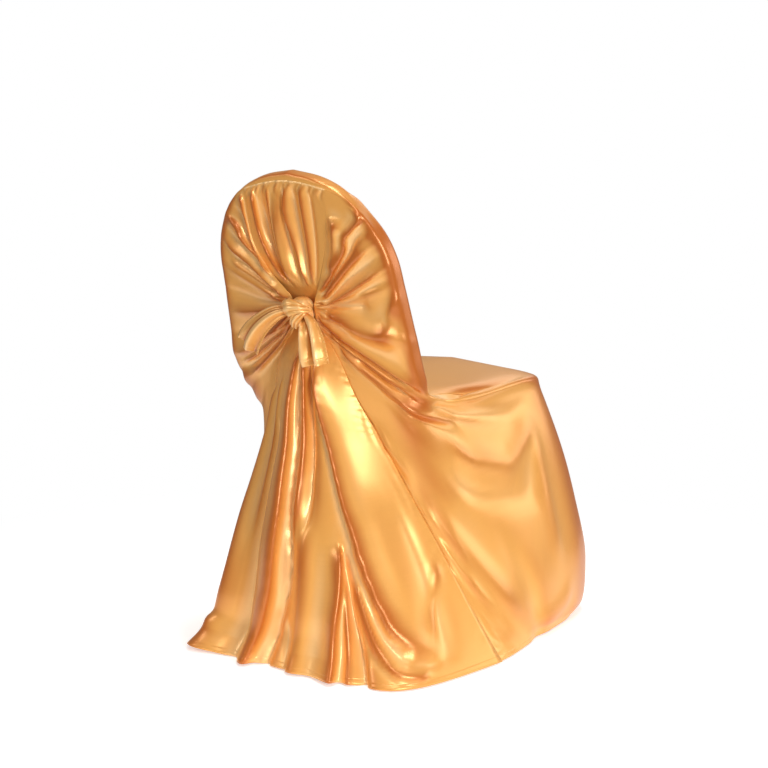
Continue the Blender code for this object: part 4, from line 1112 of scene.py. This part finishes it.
class CHAIRCOVER_OT_stage(Operator):
    """The pale floor and backdrop, the lamps and the camera"""

    bl_idname = "chaircover.stage"
    bl_label = "Stage"

    def execute(self, context):
        stage = context.scene.chair_stage
        backdrop(stage)
        lamps(stage)
        camera(stage)
        return {"FINISHED"}


FLOOR_RADIUS = 1.3
FLOOR_PALE_FROM = 0.5
FLOOR_PALE_TO = 1.2
FLOOR_MIDDLE = np.array([0.0, 0.12, 0.0])
FLOOR_RINGS = 9
FLOOR_SIDES = 96


def floor_paint(stage):
    """A pale matt floor that gives off white light of its own towards its edge."""
    material = bpy.data.materials.new("Floor paint")
    material.use_nodes = True
    n = Nodes(material.node_tree)
    place = n.add("ShaderNodeTexCoord").outputs["Object"]
    length = n.add("ShaderNodeVectorMath", {0: place}, operation="LENGTH").outputs["Value"]
    steps = {"From Min": FLOOR_PALE_FROM, "From Max": FLOOR_PALE_TO, "Value": length}
    edge = n.add("ShaderNodeMapRange", steps, interpolation_type="SMOOTHSTEP").outputs[0]
    glow = (stage.floor_glow,) * 3 + (1.0,)
    paint = {
        "Base Color": n.mix(edge, (*stage.floor_colour, 1.0), (0.0, 0.0, 0.0, 1.0)),
        "Emission Color": n.mix(edge, glow, WHITE),
        "Emission Strength": 1.0,
        "Roughness": 0.9,
        "Specular IOR Level": 0.0,
    }
    shader = n.add("ShaderNodeBsdfPrincipled", paint)
    n.add("ShaderNodeOutputMaterial", {0: shader.outputs[0]})
    return material


def backdrop(stage):
    """A round floor under the cover, with the white sky behind it: rings of points round a middle."""
    rings = np.linspace(0.4, FLOOR_RADIUS, FLOOR_RINGS)
    turn = np.linspace(0.0, 2 * np.pi, FLOOR_SIDES + 1)[:-1]
    x, y = np.outer(rings, np.cos(turn)), np.outer(rings, np.sin(turn))
    points = np.stack([x, y, 0 * x], axis=2)
    index = np.arange(x.size).reshape(x.shape)
    ahead = np.roll(index, -1, axis=1)
    quads = np.stack([index[:-1], index[1:], ahead[1:], ahead[:-1]], axis=2).reshape(-1, 4)
    mesh = bpy.data.meshes.new("floor")
    mesh.from_pydata(points.reshape(-1, 3).tolist(), [], quads.tolist() + [index[0].tolist()])
    mesh.materials.append(floor_paint(stage))
    floor = placed("floor", mesh)
    floor.location = FLOOR_MIDDLE - DATUM
# Lamps: place, what each looks at (both from the frame's origin), size and share of the main power.
LAMPS = (
    # name, place, aim, width, height, share
    ("main lamp", (1.5, -1.6, 2.1), (0.0, 0.0, -0.4), 0.7, 0.7, 0.32),
    ("side lamp", (2.4, -1.25, 0.1), (0.0, 0.0, -0.2), 0.7, 1.1, 0.70),
    ("left lamp", (-1.6, -2.2, 1.2), (0.0, 0.0, -0.4), 0.4, 1.2, 0.24),
    ("top lamp", (0.3, 0.3, 2.4), (0.0, 0.1, -0.4), 1.0, 1.0, 0.55),
    ("front lamp", (-0.6, 3.2, 1.2), (0.0, 0.2, -0.5), 1.6, 1.4, 0.15),
    ("far lamp", (2.0, 2.6, 0.3), (0.1, 0.0, -0.2), 1.8, 1.3, 0.28),
)


def turned_to(place, aim):
    """A matrix at place whose -Z looks at aim with its +Y upwards."""
    back = unit(np.array(place, float) - np.array(aim, float))
    right = unit(np.cross([0.0, 0.0, 1.0], back))
    matrix = np.eye(4)
    matrix[:3] = np.stack([right, np.cross(back, right), back, place], axis=1)
    return Matrix(matrix.tolist())


def lamps(stage):
    """Soft rectangular lamps round the cover and an even white sky."""
    for name, place, aim, width, height, share in LAMPS:
        data = bpy.data.lights.new(name, "AREA")
        data.shape = "RECTANGLE"
        data.size = width
        data.size_y = height
        data.energy = stage.lamps * share
        placed(name, data).matrix_world = turned_to(place, aim)
    world = bpy.data.worlds.new("Sky")
    world.use_nodes = True
    n = Nodes(world.node_tree)
    sky = n.add("ShaderNodeBackground", {"Color": WHITE, "Strength": stage.sky})
    white = n.add("ShaderNodeBackground", {"Color": WHITE, "Strength": 1.0})
    seen = n.add("ShaderNodeLightPath").outputs["Is Camera Ray"]
    both = n.add("ShaderNodeMixShader", {0: seen, 1: sky.outputs[0], 2: white.outputs[0]})
    n.add("ShaderNodeOutputWorld", {0: both.outputs[0]})
    bpy.context.scene.world = world
    bpy.context.scene.view_settings.view_transform = "Standard"


CAMERA_TURN = 35.5
CAMERA_RISE = 10.0
CAMERA_AIM = np.array([0.068, 0.05, 0.487])
FOCAL = 89.39


def camera(stage):
    """The camera of the photograph: behind the cover, to its right and a little above."""
    turn, rise = np.radians([CAMERA_TURN, CAMERA_RISE])
    back = np.array([np.sin(turn) * np.cos(rise), -np.cos(turn) * np.cos(rise), np.sin(rise)])
    data = bpy.data.cameras.new("camera")
    data.sensor_width = 36.0
    data.lens = FOCAL
    item = placed("camera", data)
    aim = CAMERA_AIM - DATUM
    item.matrix_world = turned_to(aim + back * stage.camera_distance, aim)
    bpy.context.scene.camera = item


class CHAIRCOVER_PT_pieces(Panel):
    """Lists the cover's pieces and settings"""

    bl_idname = "CHAIRCOVER_PT_pieces"
    bl_label = "Chair Cover"
    bl_space_type = "VIEW_3D"
    bl_region_type = "UI"
    bl_category = "Chair Cover"

    def draw(self, context):
        layout = self.layout
        for place in GROUPS:
            box = layout.box()
            group = getattr(context.scene, place)
            for name in group.__annotations__:
                box.prop(group, name)
        for operator in OPERATORS:
            layout.operator(operator.bl_idname)


OPERATORS = (
    CHAIRCOVER_OT_main_cloth,
    CHAIRCOVER_OT_back_panel,
    CHAIRCOVER_OT_knot,
    CHAIRCOVER_OT_tails,
    CHAIRCOVER_OT_stage,
)
GROUPS = {"chair_cover": CoverSettings, "chair_satin": SatinSettings, "chair_stage": StageSettings}
CLASSES = (*GROUPS.values(), *OPERATORS, CHAIRCOVER_PT_pieces)


def register():
    for item in CLASSES:
        bpy.utils.register_class(item)
    for place, group in GROUPS.items():
        setattr(bpy.types.Scene, place, PointerProperty(type=group))


def unregister():
    for place in GROUPS:
        delattr(bpy.types.Scene, place)
    for item in reversed(CLASSES):
        bpy.utils.unregister_class(item)


def main():
    register()
    bpy.ops.chaircover.main_cloth()
    bpy.ops.chaircover.back_panel()
    bpy.ops.chaircover.knot()
    bpy.ops.chaircover.tails()
    bpy.ops.chaircover.stage()


if __name__ == "__main__":
    main()
